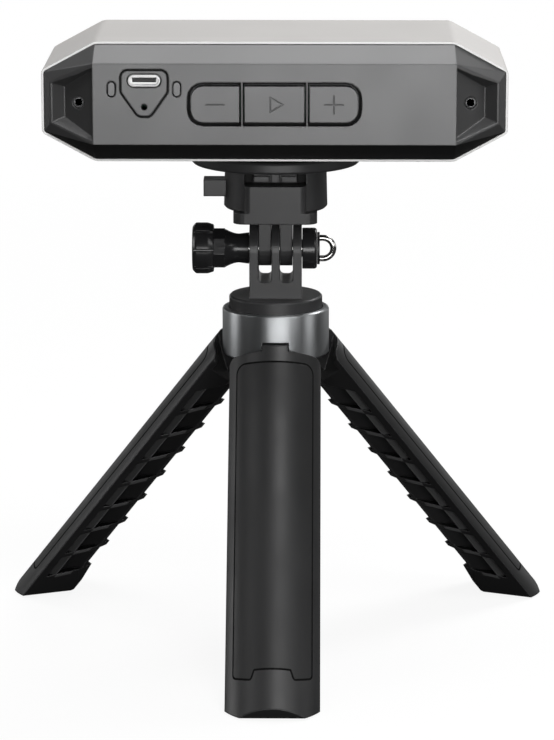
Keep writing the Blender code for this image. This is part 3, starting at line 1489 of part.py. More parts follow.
def inlay_edge(angle, grow):
    """Top and bottom heights of the inlay at an angle, moved outward by grow."""
    reach = inlay_half_angle + grow / leg_radius
    away = (reach - abs(angle)) * leg_radius

    def corner(size):
        size += grow
        if away >= size:
            return 0.0
        return size - math.sqrt(max(size * size - (size - away) ** 2, 0.0))
    step = min(max((abs(angle) - inlay_notch_angle + grow / leg_radius) / inlay_notch_blend, 0.0), 1.0)
    blend = step * step * (3 - 2 * step)
    notch_end = math.cos(inlay_notch_angle + inlay_notch_blend)
    inward = leg_radius * (1 - math.cos(angle))
    beyond = leg_radius * max(notch_end - math.cos(angle), 0.0)
    low = inlay_bottom - inlay_notch * (1 - blend) + grow - corner(inlay_foot_corner)
    high = inlay_top - grow + corner(inlay_corner)
    return high - inlay_top_slope * inward, low - inlay_foot_slope * beyond


def inlay_shape(name, grow, inner, outer):
    """Curved panel on the leg between two radii, with arched shoulders and a notch at its foot."""
    reach = inlay_half_angle + grow / leg_radius
    near = inlay_notch_angle + inlay_notch_blend
    marks = [-reach, -reach + inlay_end_angle * inlay_end_share, -reach + inlay_end_angle,
             -(reach + near) * HALF, -near, -near + inlay_notch_blend * HALF, -inlay_notch_angle,
             -inlay_notch_angle * HALF, 0.0]
    angles = marks + [-a for a in marks[-2::-1]]
    rings = []
    for a in angles:
        top, low = inlay_edge(a, grow)
        ring = [(outer, top), (outer, low), (inner, low), (inner, top)]
        rings.append([leg_point(r * math.cos(a), r * math.sin(a), s) for r, s in ring])
    return loft(name, rings)


inlay_end_angle = math.radians(4.5)
inlay_end_share = 0.3


def shoulder_cut():
    """Space over the outer skin of a leg: its lower side is the top edge, rounded at both corners."""
    half = leg_sector * HALF
    outer = leg_radius + 2 * GAP
    inner = leg_radius - shoulder_wall - GAP
    marks = [0.0, half * HALF] + [half - shoulder_corner * share / leg_radius for share in corner_shares]
    angles = [-a for a in marks[:0:-1]] + marks
    rings = []
    for a in angles:
        away = (half - abs(a)) * leg_radius
        short = max(shoulder_corner - away, 0.0)
        fall = shoulder_corner - math.sqrt(max(shoulder_corner * shoulder_corner - short * short, 0.0))
        low = shoulder_drop - shoulder_lean * leg_radius * (1 - math.cos(a)) + fall
        high = shoulder_drop - shoulder_over
        ring = [(outer, high), (outer, low), (inner, low + shoulder_bevel), (inner, high)]
        rings.append([leg_point(r * math.cos(a), r * math.sin(a), s) for r, s in ring])
    return loft("shoulder_cut", rings)


corner_shares = (1.0, 0.75, 0.5, 0.3, 0.15, 0.05, -0.1)


def pad_section(grow):
    """Cross-section of the rubber pad in the sole."""
    return [(t, w) for t, w in sector_section(toe_inner - pad_inset + grow, pad_inner - grow,
                                               2 * pad_inset - grow)]


def leg_meshes():
    """Build the leg, its inlay and its pad once, in the leg frame."""
    tilt = sole_clear / math.cos(leg_splay)
    leg = leg_prism("leg", sector_section(leg_radius, leg_inner, side_gap),
                    lambda t: shoulder_drop - shoulder_rise, lambda t: sole_height(t) - tilt)
    core = leg_radius - shoulder_wall
    round_core = arc((0, 0), core, -leg_sector * HALF, leg_sector * HALF, arc_steps)
    cut(leg, shoulder_cut())
    cut(leg, leg_prism("core_cut", round_core + [(0.0, core), (0.0, -core)],
                       lambda t: shoulder_drop - shoulder_over,
                       lambda t: shoulder_drop + shoulder_slope * (leg_radius - t)))
    half = leg_sector * HALF
    heel_section = []
    for t in (heel_inner, heel_join):
        width = t * math.tan(half) - side_gap / math.cos(half)
        heel_section += [(t, -width), (t, width)] if t > heel_inner else [(t, width), (t, -width)]
    fall = (heel_end - heel_start) / (leg_inner - heel_inner)
    add(leg, leg_prism("heel", heel_section, lambda t: heel_end - fall * (t - heel_inner),
                       lambda t: sole_height(t) - tilt))
    add(leg, leg_tab())
    cut(leg, rib_pockets_shape())
    slope = -toe_rise / (leg_radius - toe_inner)
    toe_base = sole_height(toe_inner) - tilt
    wide = [(toe_inner, -leg_radius), (2 * leg_radius, -leg_radius), (2 * leg_radius, leg_radius),
            (toe_inner, leg_radius)]
    cut(leg, leg_prism("toe_cut", wide, lambda t: toe_base + slope * (t - toe_inner),
                       lambda t: sole_height(2 * leg_radius)))
    cut(leg, inlay_shape("inlay_bed", GAP, leg_radius - inlay_thickness - GAP, leg_radius + GAP))
    cut(leg, cylinder("pin_hole", pin_radius + GAP, -leg_radius, leg_radius, "X", (0, 0, 0), SMALL_STEPS))
    cut(leg, leg_prism("pad_bed", pad_section(GAP), lambda t: sole_height(t) - tilt - pad_depth,
                       lambda t: sole_height(t) + tilt))
    inlay = inlay_shape("inlay", 0.0, leg_radius - inlay_thickness, leg_radius)
    pad = leg_prism("pad", pad_section(0), lambda t: sole_height(t) - tilt - pad_depth + GAP, sole_height)
    return leg, inlay, pad


def legs():
    """Place three copies of the leg around the axis, spread to their stops."""
    leg, inlay, pad = leg_meshes()
    for label, azimuth in leg_directions.items():
        out = outward(azimuth)
        across = sideways(azimuth)
        up = Vector((0, 0, 1))
        along_t = out * math.cos(leg_splay) + up * math.sin(leg_splay)
        along_s = out * math.sin(leg_splay) - up * math.cos(leg_splay)
        hinge = out * leg_pivot_radius + up * leg_pivot_height
        turn = Matrix((across, -along_t, -along_s)).transposed().to_4x4()
        main = None
        kinds = ((leg, "leg_", LEG_GREY, 0.45), (inlay, "leg_inlay_", INLAY_GREY, 0.5),
                 (pad, "foot_pad_", RUBBER, 0.85))
        for base, name, colour, rough in kinds:
            mesh = base.data.copy()
            item = bpy.data.objects.new(name + label, mesh)
            mesh.name = item.name
            bpy.context.scene.collection.objects.link(item)
            mesh.transform(turn)
            mesh.transform(Matrix.Translation(hinge))
            dress(item, colour, rough, 0.0, hinge, main)
            if main is None:
                main = item
    for item in (leg, inlay, pad):
        mesh = item.data
        bpy.data.objects.remove(item, do_unlink=True)
        bpy.data.meshes.remove(mesh)


# assembly
def scanner_head(parent):
    """Everything inside and outside the scanner housing."""
    outer_shell(parent)
    rear_cover(parent)
    port_group(parent)
    indicator_lenses(parent)
    keys(parent)
    key_gasket(parent)
    rear_cover_screws(parent)
    front_bezel(parent)
    front_glass(parent)
    optical_module("left_infrared_camera", -camera_x, camera_barrel, camera_lens, LENS_GREY, parent)
    optical_module("right_infrared_camera", camera_x, camera_barrel, camera_lens, LENS_GREY, parent)
    optical_module("pattern_projector", 0, projector_barrel, projector_lens, LENS_GREY, parent)
    optical_module("color_camera", colour_x, colour_barrel, colour_lens, LENS_GREY, parent)
    fill_lamp_board(parent)
    optical_frame(parent)
    main_board(parent)
    button_switches(parent)
    mounting_insert(parent)


def mount(parent):
    """Quick-release mount between the scanner and the clamp."""
    mount_pad(parent)
    mount_disc(parent)
    mount_screw(parent)
    quick_release_body(parent)
    release_slide(parent)
    release_spring(parent)


def centre_on_origin():
    """Move the set so that its bounding box is centred in X and Y and stands on the floor."""
    bpy.context.view_layer.update()
    low = np.full(3, np.inf)
    high = np.full(3, -np.inf)
    for item in bpy.data.objects:
        if item.type == "MESH":
            points = np.array([item.matrix_world @ v.co for v in item.data.vertices])
            low = np.minimum(low, points.min(axis=0))
            high = np.maximum(high, points.max(axis=0))
    shift = Vector((-(low[0] + high[0]) / 2, -(low[1] + high[1]) / 2, -low[2]))
    for item in bpy.data.objects:
        if item.parent is None:
            item.location += shift
    bpy.context.view_layer.update()


def main():
    """Build the scanner, its mount and the tripod."""
    clear_scene()
    tilt_axis = axis_empty("scanner_tilt_axis", pivot)
    scanner_head(tilt_axis)
    mount(tilt_axis)
    knob = thumb_knob()
    clamp_bolt(knob)
    nut_group()
    fork_head()
    collar()
    hub()
    hinge_pins()
    hub_screw()
    legs()
    centre_on_origin()


main()
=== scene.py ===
# %% [markdown]
# # A pocket three-d scanner on its mini tripod
#
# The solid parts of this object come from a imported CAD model. This lesson dresses them: it gives every part a
# finish worked out from noise and edge masks, and it rebuilds a few parts as smooth surfaces, because a
# coarse solid shows its facets at a close look. We start by loading the parts and noting their overall box.

import json
import math

import bmesh
import bpy
import numpy as np
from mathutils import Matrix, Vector


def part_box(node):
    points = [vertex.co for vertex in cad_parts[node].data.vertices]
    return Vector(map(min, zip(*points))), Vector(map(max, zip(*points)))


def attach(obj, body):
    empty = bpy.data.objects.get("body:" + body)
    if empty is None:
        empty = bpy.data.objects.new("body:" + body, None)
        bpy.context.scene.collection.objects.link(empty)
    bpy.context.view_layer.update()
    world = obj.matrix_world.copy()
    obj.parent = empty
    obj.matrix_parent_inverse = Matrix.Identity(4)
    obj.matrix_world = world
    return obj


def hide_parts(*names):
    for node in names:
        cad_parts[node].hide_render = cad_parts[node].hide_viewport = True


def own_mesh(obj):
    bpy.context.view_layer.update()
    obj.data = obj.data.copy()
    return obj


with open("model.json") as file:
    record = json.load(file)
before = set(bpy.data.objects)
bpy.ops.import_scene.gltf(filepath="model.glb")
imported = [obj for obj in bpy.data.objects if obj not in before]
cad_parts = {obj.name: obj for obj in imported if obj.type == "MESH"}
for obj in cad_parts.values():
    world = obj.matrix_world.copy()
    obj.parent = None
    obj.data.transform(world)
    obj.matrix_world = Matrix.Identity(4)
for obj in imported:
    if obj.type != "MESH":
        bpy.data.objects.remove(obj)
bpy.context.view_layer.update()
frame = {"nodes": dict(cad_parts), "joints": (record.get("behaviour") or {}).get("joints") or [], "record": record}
MM = 0.001
SIDES = ("front", "left", "right")

# %% [markdown]
# The three legs stand around one upright axis, and the clamp bolt lies across it. Both lines are read from
# the boxes of two parts, the ring around the leg hinges and the bolt, so that nothing here is fitted by eye.

# %% The two main axes


def middle(name):
    """Centre of a part's box: half of lowest corner plus highest corner."""
    low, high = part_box(name)
    return (Vector(low) + Vector(high)) / 2


axis_y = middle("collar").y
clamp_z = middle("clamp_bolt").z
print("upright axis at y = %.2f mm, clamp bolt at z = %.2f mm" % (axis_y / MM, clamp_z / MM))

# %% [markdown]
# ## The camera
#
# The photograph looks slightly down on the keys from about a metre away. A long lens keeps the perspective
# weak. The angles come from the outline: the tops of the discs show as thin ellipses, which gives the
# height, and the top face of the scanner narrows towards the back, which gives the distance.

# %% Camera
camera_pitch = math.radians(12.841)
camera_yaw = math.radians(0.657)
camera_distance = 1039.835 * MM
camera_target = Vector((0.363 * MM, axis_y, 76.937 * MM))
picture_height_px = 740
focal_px = 3605.1
sensor_mm = 36.0

sight = Vector((math.sin(camera_yaw) * math.cos(camera_pitch), -math.cos(camera_yaw) * math.cos(camera_pitch),
                math.sin(camera_pitch)))
camera_data = bpy.data.cameras.new("camera")
camera_data.sensor_fit = "VERTICAL"
camera_data.sensor_height = sensor_mm
camera_data.lens = focal_px / picture_height_px * sensor_mm
camera_data.clip_start = 0.05
camera_data.clip_end = 20.0
camera = bpy.data.objects.new("camera", camera_data)
bpy.context.scene.collection.objects.link(camera)
camera.location = camera_target + sight * camera_distance
camera.rotation_euler = sight.to_track_quat("Z", "Y").to_euler()
bpy.context.scene.camera = camera
print("lens %.1f mm at %.2f m" % (camera_data.lens, camera_distance))

# %% [markdown]
# ## Node groups for the finishes
#
# Three effects return on nearly every part. A part that came out of a mould has a fine grain. An edge that
# hands and tools touch is rounded and a little polished; where a finish lightens it strongly, it is also a
# painted glint. And a turned part has fine rings around its axis.
# Each effect is one node group with named sockets, so that each finish only sets its own values.

# %% Helpers for node groups


def new_group(name, inputs, outputs):
    """Start a shader group: inputs and outputs are rows of (name, socket type, default)."""
    group = bpy.data.node_groups.new(name, "ShaderNodeTree")
    for label, kind, value in inputs:
        socket = group.interface.new_socket(name=label, in_out="INPUT", socket_type=kind)
        if value is not None:
            socket.default_value = value
    for label, kind in outputs:
        group.interface.new_socket(name=label, in_out="OUTPUT", socket_type=kind)
    return group, group.nodes.new("NodeGroupInput").outputs, group.nodes.new("NodeGroupOutput").inputs


def node(tree, kind, links=(), **settings):
    """Add a node, set its properties, then link or set its inputs, given as (input, source or value)."""
    item = tree.nodes.new(kind)
    for key, value in settings.items():
        setattr(item, key, value)
    for key, source in links:
        if isinstance(source, bpy.types.NodeSocket):
            tree.links.new(source, item.inputs[key])
        else:
            item.inputs[key].default_value = source
    return item


def maths(tree, operation, a, b=0.0, clamp=False):
    """One Math node; a and b are sockets or numbers."""
    return node(tree, "ShaderNodeMath", ((0, a), (1, b)), operation=operation, use_clamp=clamp).outputs[0]


def span(tree, value, start, end, low=0.0, high=1.0):
    """Map Range: start to end becomes low to high, held at both ends."""
    return node(tree, "ShaderNodeMapRange", (("Value", value), ("From Min", start), ("From Max", end),
                                             ("To Min", low), ("To Max", high))).outputs[0]


def noise(tree, place, scale, detail, roughness=0.5):
    """Value of a noise at a place; scale is in waves per metre."""
    return node(tree, "ShaderNodeTexNoise", (("Vector", place), ("Scale", scale), ("Detail", detail),
                                             ("Roughness", roughness))).outputs["Fac"]


# %% [markdown]
# **Moulded grain.** Spark-eroded moulds leave a skin of tiny bumps. Two noises give it here: a fine one for
# the bumps, and a broad one for the slow change of tone and gloss that every moulding has.

# %% Group: moulded grain
fine_share, broad_share = 0.35, 0.65
grain_group, given, result = new_group(
    "moulded_grain",
    (("Vector", "NodeSocketVector", None), ("Scale", "NodeSocketFloat", 3000.0),
     ("Broad Scale", "NodeSocketFloat", 45.0)),
    (("Height", "NodeSocketFloat"), ("Tone", "NodeSocketFloat"), ("Gloss", "NodeSocketFloat")))
fine = noise(grain_group, given["Vector"], given["Scale"], 3.0, 0.6)
broad = noise(grain_group, given["Vector"], given["Broad Scale"], 4.0)
speck = maths(grain_group, "MULTIPLY", fine, fine_share)
drift = maths(grain_group, "MULTIPLY", broad, broad_share)
grain_group.links.new(fine, result["Height"])
grain_group.links.new(maths(grain_group, "ADD", speck, drift), result["Tone"])
grain_group.links.new(broad, result["Gloss"])
print("group", grain_group.name)

# %% [markdown]
# ** Soft edges.** The Bevel node bends the normal near an edge, as if the edge were rounded. Where the bent
# normal and the true one differ, there is an edge, so their difference is also a mask for polish and rubbing,
# and for painted glints where a finish lightens its edges strongly.

# %% Group: soft edges
edge_gain, least_wear_and_glint = 5.0, 0.25
edge_group, given, result = new_group(
    "soft_edges",
    (("Vector", "NodeSocketVector", None), ("Radius", "NodeSocketFloat", 0.3 * MM),
     ("Breakup Scale", "NodeSocketFloat", 400.0)),
    (("Normal", "NodeSocketVector"), ("WearAndGlint", "NodeSocketFloat")))
bent = node(edge_group, "ShaderNodeBevel", (("Radius", given["Radius"]),), samples=6).outputs[0]
true = node(edge_group, "ShaderNodeNewGeometry").outputs["Normal"]
likeness = node(edge_group, "ShaderNodeVectorMath", ((0, bent), (1, true)),
                operation="DOT_PRODUCT").outputs["Value"]
edge_mask = maths(edge_group, "MULTIPLY", maths(edge_group, "SUBTRACT", 1.0, likeness), edge_gain, clamp=True)
breakup = noise(edge_group, given["Vector"], given["Breakup Scale"], 3.0)
broken = maths(edge_group, "ADD", breakup, least_wear_and_glint, clamp=True)
edge_group.links.new(bent, result["Normal"])
edge_group.links.new(maths(edge_group, "MULTIPLY", edge_mask, broken), result["WearAndGlint"])
print("group", edge_group.name)

# %% [markdown]
# **Turned rings.** A lathe tool leaves rings that only change along the axis. A noise in one dimension, which
# runs along the axis, gives such rings without a seam.

# %% Group: turned rings
turned_group, given, result = new_group(
    "turned_rings", (("Vector", "NodeSocketVector", None), ("Rings", "NodeSocketFloat", 9000.0)),
    (("Height", "NodeSocketFloat"),))
height = node(turned_group, "ShaderNodeSeparateXYZ", ((0, given["Vector"]),)).outputs["Z"]
rings = node(turned_group, "ShaderNodeTexNoise",
             (("W", maths(turned_group, "MULTIPLY", height, given["Rings"])), ("Scale", 1.0), ("Detail", 2.0)),
             noise_dimensions="1D")
turned_group.links.new(rings.outputs["Fac"], result["Height"])
print("group", turned_group.name)

# %% [markdown]
# ## Finishes
#
# A finish starts from the colour and roughness of the real surface. The grain group shifts the colour a
# little, the broad noise shifts the roughness, and the edge mask mixes in the lighter, smoother colour of a
# touched edge, which is a painted glint where it is many times lighter. Bump and rounded normals go into the
# Normal socket together.

# %% One function for all opaque finishes


def mix(tree, factor, a, b):
    """Colour mix: a times one minus factor, plus b times factor."""
    return node(tree, "ShaderNodeMix", ((0, factor), (6, a), (7, b)), data_type="RGBA").outputs[2]


def scaled(colour, share):
    """A colour with every channel times share, with full alpha."""
    return tuple(min(c * share, 1.0) for c in colour) + (1.0,)


def started(name, values):
    """New material with constants on its shader's own sockets, as (material, tree, shader inputs, place)."""
    material = bpy.data.materials.new(name)
    material.use_nodes = True
    tree = material.node_tree
    inputs = tree.nodes["Principled BSDF"].inputs
    for socket, value in values.items():
        inputs[socket].default_value = value
    return material, tree, inputs, node(tree, "ShaderNodeTexCoord").outputs["Object"]


def finish(name, colour, roughness, metallic=0.0, grain=3000.0, depth=0.02, tone=0.1, gloss=0.06,
           edge=0.3, wear_and_glint=1.5, wear_and_glint_share=0.5, coat=0.0, turned=0.0, specular=0.5, anisotropic=0.0, spin=0.0):
    """Opaque finish. Colour = mix of two shades by the grain tone, then mixed with the lighter edge colour by
    the edge mask: a rubbed edge, and a painted glint where it is strong. Roughness = roughness plus or minus
    gloss, by the broad noise. depth and edge are in mm."""
    material, tree, inputs, place = started(name, {
        "Metallic": metallic, "Coat Weight": coat, "Coat Roughness": 0.12, "Specular IOR Level": specular,
        "Anisotropic": anisotropic, "Anisotropic Rotation": spin})
    skin = node(tree, "ShaderNodeGroup", (("Vector", place), ("Scale", grain)), node_tree=grain_group).outputs
    rim = node(tree, "ShaderNodeGroup", (("Vector", place), ("Radius", edge * MM)),
               node_tree=edge_group).outputs
    shade = mix(tree, skin["Tone"], scaled(colour, 1 - tone), scaled(colour, 1 + tone))
    edge_wear_and_glint = maths(tree, "MULTIPLY", rim["WearAndGlint"], wear_and_glint_share)
    tree.links.new(mix(tree, edge_wear_and_glint, shade, scaled(colour, wear_and_glint)), inputs["Base Color"])
    tree.links.new(span(tree, skin["Gloss"], 0.3, 0.7, roughness - gloss, roughness + gloss),
                   inputs["Roughness"])
    height = skin["Height"]
    if turned:
        height = node(tree, "ShaderNodeGroup", (("Vector", place), ("Rings", turned)),
                      node_tree=turned_group).outputs["Height"]
    bump = node(tree, "ShaderNodeBump", (("Height", height), ("Normal", rim["Normal"]),
                                         ("Distance", depth * MM)))
    tree.links.new(bump.outputs[0], inputs["Normal"])
    return material


print("finish ready")

# %% [markdown]
# ## A mesh from a grid of points
#
# Every rebuilt part here is a surface over two parameters: one runs along a profile or a path, the other
# runs around. Numpy works out all its points at once, and one helper turns such a grid into a mesh.

# %% Grid to mesh


def made_mesh(name, points, faces):
    """Mesh of points and faces; points in one place are joined, and every face looks outward."""
    mesh = bpy.data.meshes.new(name)
    mesh.from_pydata(points.reshape(-1, 3).tolist(), [], faces)
    shape = bmesh.new()
    shape.from_mesh(mesh)
    bmesh.ops.remove_doubles(shape, verts=shape.verts, dist=1e-7)
    bmesh.ops.recalc_face_normals(shape, faces=shape.faces)
    shape.to_mesh(mesh)
    shape.free()
    return mesh


def grid_mesh(name, points, close_rows=False, caps=False):
    """Mesh of a (rows, columns, 3) grid: each cell is one quad between a point, its neighbour in the row
    and the two points of the next row. Columns wrap round, rows on demand; caps fill the first and last."""
    rows, columns = points.shape[:2]
    index = np.arange(rows * columns).reshape(rows, columns)
    if close_rows:
        index = np.vstack([index, index[:1]])
    index = np.hstack([index, index[:, :1]])
    quads = np.stack([index[:-1, :-1], index[:-1, 1:], index[1:, 1:], index[1:, :-1]], axis=-1)
    faces = quads.reshape(-1, 4).tolist()
    if caps:
        faces += [index[0, :columns].tolist(), index[-1, :columns].tolist()]
    return made_mesh(name, points, faces)


# %% [markdown]
# Real corners are never sharp. `eased` rounds each corner of a polyline with a short curve that starts and
# ends on the straight sides, so a section drawn with a few points still gets soft edges.

# %% Rounded polylines


def eased(line, radius, closed=False, steps=5):
    """Round every corner: the curve leaves each side one radius before the corner, or at 0.45 of a short
    side, and runs as (1-s)^2 A + 2 s (1-s) corner + s^2 B."""
    line = np.asarray(line, float)
    radius = np.broadcast_to(np.asarray(radius, float), (len(line),))
    ends = []
    for other in (np.roll(line, 1, axis=0), np.roll(line, -1, axis=0)):
        side = other - line
        length = np.linalg.norm(side, axis=1)
        ends.append(line + side / length[:, None] * np.minimum(radius, 0.45 * length)[:, None])
    s = np.linspace(0, 1, steps)[None, :, None]
    curve = (1 - s) ** 2 * ends[0][:, None] + 2 * s * (1 - s) * line[:, None] + s ** 2 * ends[1][:, None]
    if closed:
        return curve.reshape(-1, line.shape[1])
    return np.vstack([line[:1], curve[1:-1].reshape(-1, line.shape[1]), line[-1:]])


def grown(line, amount):
    """Closed outline moved along its outward normals: the chord between the two neighbours of a point,
    turned by a quarter; one copy of the outline for each given amount."""
    chord = np.roll(line, -1, axis=0) - np.roll(line, 1, axis=0)
    outward = np.stack([chord[:, 1], -chord[:, 0]], axis=1)
    outward /= np.linalg.norm(outward, axis=1)[:, None]
    return line[None] + outward[None] * np.atleast_1d(np.asarray(amount, float))[:, None, None]


def facing(rows, depth):
    """Outlines in the x-z plane at the given depths along y, as a grid of points."""
    depth = np.broadcast_to(np.asarray(depth, float)[:, None], rows.shape[:2])
    return np.stack([rows[..., 0], depth, rows[..., 1]], axis=-1)


# %% [markdown]
# A turned part is a profile that spins round an axis. Profile rows are (radius, place along the axis).

# %% Turned surfaces


def turned_grid(profile, centre, axis):
    """point = centre + place * axis + radius * (cos a * first + sin a * second), for a level axis."""
    angle = np.linspace(0, 2 * np.pi, 96, endpoint=False)
    axis = np.asarray(axis, float)
    first = np.array((0.0, 0.0, 1.0))
    around = np.cos(angle)[:, None] * first + np.sin(angle)[:, None] * np.cross(axis, first)
    profile = np.asarray(profile, float)
    along, radius = profile[:, 1, None, None], profile[:, 0, None, None]
    return np.asarray(centre, float) + along * axis + radius * around[None]


def step(value):
    """Smooth step from 0 to 1: 3 v^2 - 2 v^3, with v held between 0 and 1."""
    value = np.clip(value, 0, 1)
    return value * value * (3 - 2 * value)


# %% [markdown]
# One helper finishes every piece: it links the mesh, shades it smooth except across real edges and lets it
# ride on the body of its part. A piece stands for its part, or is an extra beside it. A Weighted Normal
# modifier keeps large flat faces flat, as the big faces decide the normals at their rims.

# %% Finish a piece
body_of = {name: body for body, names in frame["record"]["behaviour"]["bodies"].items() for name in names}


def piece(name, mesh, material, part, extra=False, smooth=35):
    """Link and shade a mesh and let it ride on its part's body; unless it is an extra, it replaces the part's own
    shape.
    """
    item = bpy.data.objects.new(name, mesh)
    bpy.context.scene.collection.objects.link(item)
    mesh.materials.clear()
    mesh.materials.append(material)
    mesh.polygons.foreach_set("use_smooth", np.ones(len(mesh.polygons), dtype=bool))
    mesh.set_sharp_from_angle(angle=math.radians(smooth))
    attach(item, body_of[part])
    if not extra:
        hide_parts(part)
    return item


def grid_piece(name, points, material, part, extra=False, smooth=35, **closing):
    """Piece made of a grid of points; closing says how grid_mesh closes it."""
    return piece(name, grid_mesh(name, points, **closing), material, part, extra, smooth)


def carried(name, outline, section, depth, material, part, extra=False, smooth=35):
    """Closed section carried round an outline in the x-z plane; its rows are (growth, place behind depth)."""
    points = facing(grown(outline, section[:, 0]), depth + section[:, 1])
    return grid_piece(name, points, material, part, extra, smooth, close_rows=True)


def thin_plate(name, outline, depths, material, part):
    """Extra plate between two depths along y, whose outline lies in the x-z plane."""
    points = facing(np.stack([outline, outline]), depths)
    grid_piece(name, points, material, part, extra=True, caps=True)


def keep_flats(item):
    """Weighted normals: each corner normal follows the area of its faces."""
    item.modifiers.new("flat faces", "WEIGHTED_NORMAL").keep_sharp = True


# %% [markdown]
# A solid's mesh is loose triangles, so one flat face is many of them, and smooth shading would smear light
# across it. `flat_faces` puts the triangles that lie in one plane into a group, and calls a group flat when
# it is wide, or when most of its rim is a real edge. The strips of a round surface are neither.

# %% Find the flat faces
flat_width, flat_rim_share, plane_step, level_degrees = 2.4 * MM, 0.2, 0.02, 0.5


def numbers(items, name, width=1, kind=float):
    """One property of all vertices, edges, loops or faces as an array with the given width."""
    values = np.empty(len(items) * width, dtype=kind)
    items.foreach_get(name, values)
    return values.reshape(-1, width) if width > 1 else values


def edge_ends(mesh):
    """Both end points of every edge."""
    return numbers(mesh.vertices, "co", 3)[numbers(mesh.edges, "vertices", 2, int)]


def flat_faces(mesh, gentle):
    """True for each face in a flat group. Width of a group = 2 * area / rim length; a rim edge is gentle
    when its two faces turn by less than the gentle angle, and a flat group has few of them."""
    normal = numbers(mesh.polygons, "normal", 3)
    offset = (normal * numbers(mesh.polygons, "center", 3)).sum(axis=1)
    plane = np.round(np.column_stack([normal / plane_step, offset / (plane_step * MM)])).astype(int)
    group = np.unique(plane, axis=0, return_inverse=True)[1].ravel()
    face = np.repeat(np.arange(len(mesh.polygons)), numbers(mesh.polygons, "loop_total", kind=int))
    edge = numbers(mesh.loops, "edge_index", kind=int)
    order = np.argsort(edge, kind="stable")
    paired = order[np.isin(edge[order], np.flatnonzero(np.bincount(edge) == 2))].reshape(-1, 2)
    first, second = face[paired].T
    points = edge_ends(mesh)[edge[paired[:, 0]]]
    length = np.linalg.norm(points[:, 0] - points[:, 1], axis=1)
    likeness = (normal[first] * normal[second]).sum(axis=1)
    rim = length * (group[first] != group[second]) * (likeness < math.cos(math.radians(level_degrees)))
    soft_rim = rim * (likeness > math.cos(math.radians(gentle)))
    both = np.concatenate([group[first], group[second]])
    rim_sum = np.bincount(both, np.tile(rim, 2), group.max() + 1) + 1e-9
    soft_sum = np.bincount(both, np.tile(soft_rim, 2), group.max() + 1)
    area = np.bincount(group, numbers(mesh.polygons, "area"), group.max() + 1)
    return ((2 * area / rim_sum > flat_width) | (soft_sum / rim_sum < flat_rim_share))[group]


# %% [markdown]
# Many parts have the right shape already and only need softer edges. `softened` copies the solid's mesh,
# merges its points and shades it. Where a width is given, it also joins flat neighbours and marks the sharp
# edges, and a Bevel modifier rounds these. A part with many small cuts in a large face does better without:
# there the Bevel node of the finish rounds the edges in the shading alone.

# %% Copies with rounded edges
shortest_bevelled = 0.12 * MM


def softened(part, material, width=0.0, angle=26):
    """Copy of a solid part; an edge counts as sharp where its faces turn by more than angle degrees. With a
    width (mm), the longer ones of the sharp edges are rounded too."""
    shape = bmesh.new()
    shape.from_mesh(frame["nodes"][part].data)
    bmesh.ops.remove_doubles(shape, verts=shape.verts, dist=2e-6)
    if width:
        bmesh.ops.dissolve_limit(shape, angle_limit=math.radians(level_degrees), verts=shape.verts,
                                 edges=shape.edges)
    mesh = bpy.data.meshes.new(part + "_shown")
    shape.to_mesh(mesh)
    shape.free()
    item = piece(part + "_shown", mesh, material, part, smooth=angle)
    if not width:
        mesh.polygons.foreach_set("use_smooth", ~flat_faces(mesh, angle))
        return item
    ends = edge_ends(mesh)
    sharp = np.zeros(len(mesh.edges), dtype=bool)
    if "sharp_edge" in mesh.attributes:
        mesh.attributes["sharp_edge"].data.foreach_get("value", sharp)
    weight = (sharp & (np.linalg.norm(ends[:, 0] - ends[:, 1], axis=1) > shortest_bevelled)).astype(float)
    mesh.attributes.new("bevel_weight_edge", "FLOAT", "EDGE").data.foreach_set("value", weight)
    bevel = item.modifiers.new("rounded edges", "BEVEL")
    bevel.limit_method = "WEIGHT"
    bevel.width = width * MM
    bevel.segments = 3
    bevel.use_clamp_overlap = False
    keep_flats(item)
    return item


print("helpers ready")

# %% [markdown]
# ## The scanner's sleeve
#
# The body of the scanner is a sleeve of bead-blasted aluminium with eight sides. Its lip stands round the
# rear cover and catches the light as a thin bright line. It could be extruded and bevelled, but an outline
# carried along a small section gives both lips in one grid. The lip is drawn a quarter of a millimetre
# thicker than the solid one, so that it closes on the cover. The thin bright line is a painted highlight: a
# near-white strip of its own on the end of the lip, with a smoother finish.

# %% Sleeve
aluminium = finish("bead_blasted_aluminium", (0.50, 0.488, 0.476), 0.5, metallic=0.12, specular=0.35,
                   grain=5200.0, depth=0.006, tone=0.025, gloss=0.03, edge=0.1, wear_and_glint=1.5, wear_and_glint_share=0.8)
# Painted highlight: a near-white strip on the end of the lip stands for the thin line of light that it catches.
lip_painted_highlight = finish("lip_highlight_paint", (0.95, 0.95, 0.94), 0.3, grain=5200.0, depth=0.002, tone=0.02, gloss=0.03,
                    edge=0.05, wear_and_glint=1.1)
sleeve_low, sleeve_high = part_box("outer_shell")
scanner_z = (sleeve_low.z + sleeve_high.z) / 2
half_width, half_height = sleeve_high.x, (sleeve_high.z - sleeve_low.z) / 2
cut_across, cut_up, lip, corner_ease, lip_ease = 14.7 * MM, 7.95 * MM, 0.68 * MM, 1.1 * MM, 0.3 * MM


def quarters(points):
    """Four mirrored copies of the outline in one corner, in order round the centre."""
    points = np.asarray(points, float)
    return np.vstack([points, points[::-1] * (-1, 1), points * (-1, -1), points[::-1] * (1, -1)])


octagon = quarters([(half_width, half_height - cut_up), (half_width - cut_across, half_height)])
octagon = eased(octagon, corner_ease, closed=True, steps=7) + (0, scanner_z)
lip_section = eased([(0, sleeve_low.y), (0, sleeve_high.y), (-lip, sleeve_high.y), (-lip, sleeve_low.y)],
                    lip_ease, closed=True)
keep_flats(carried("sleeve", octagon, lip_section, 0, aluminium, "outer_shell"))
# The strip of painted highlight on the end of the lip.
highlight_strip_section = np.array([(-0.10, -0.01), (-0.60, -0.01), (-0.60, 0.1), (-0.10, 0.1)]) * MM
carried("sleeve_lip_highlight", octagon, highlight_strip_section, sleeve_low.y, lip_painted_highlight, "outer_shell", extra=True)
print("sleeve %.1f mm wide" % (2 * half_width / MM))
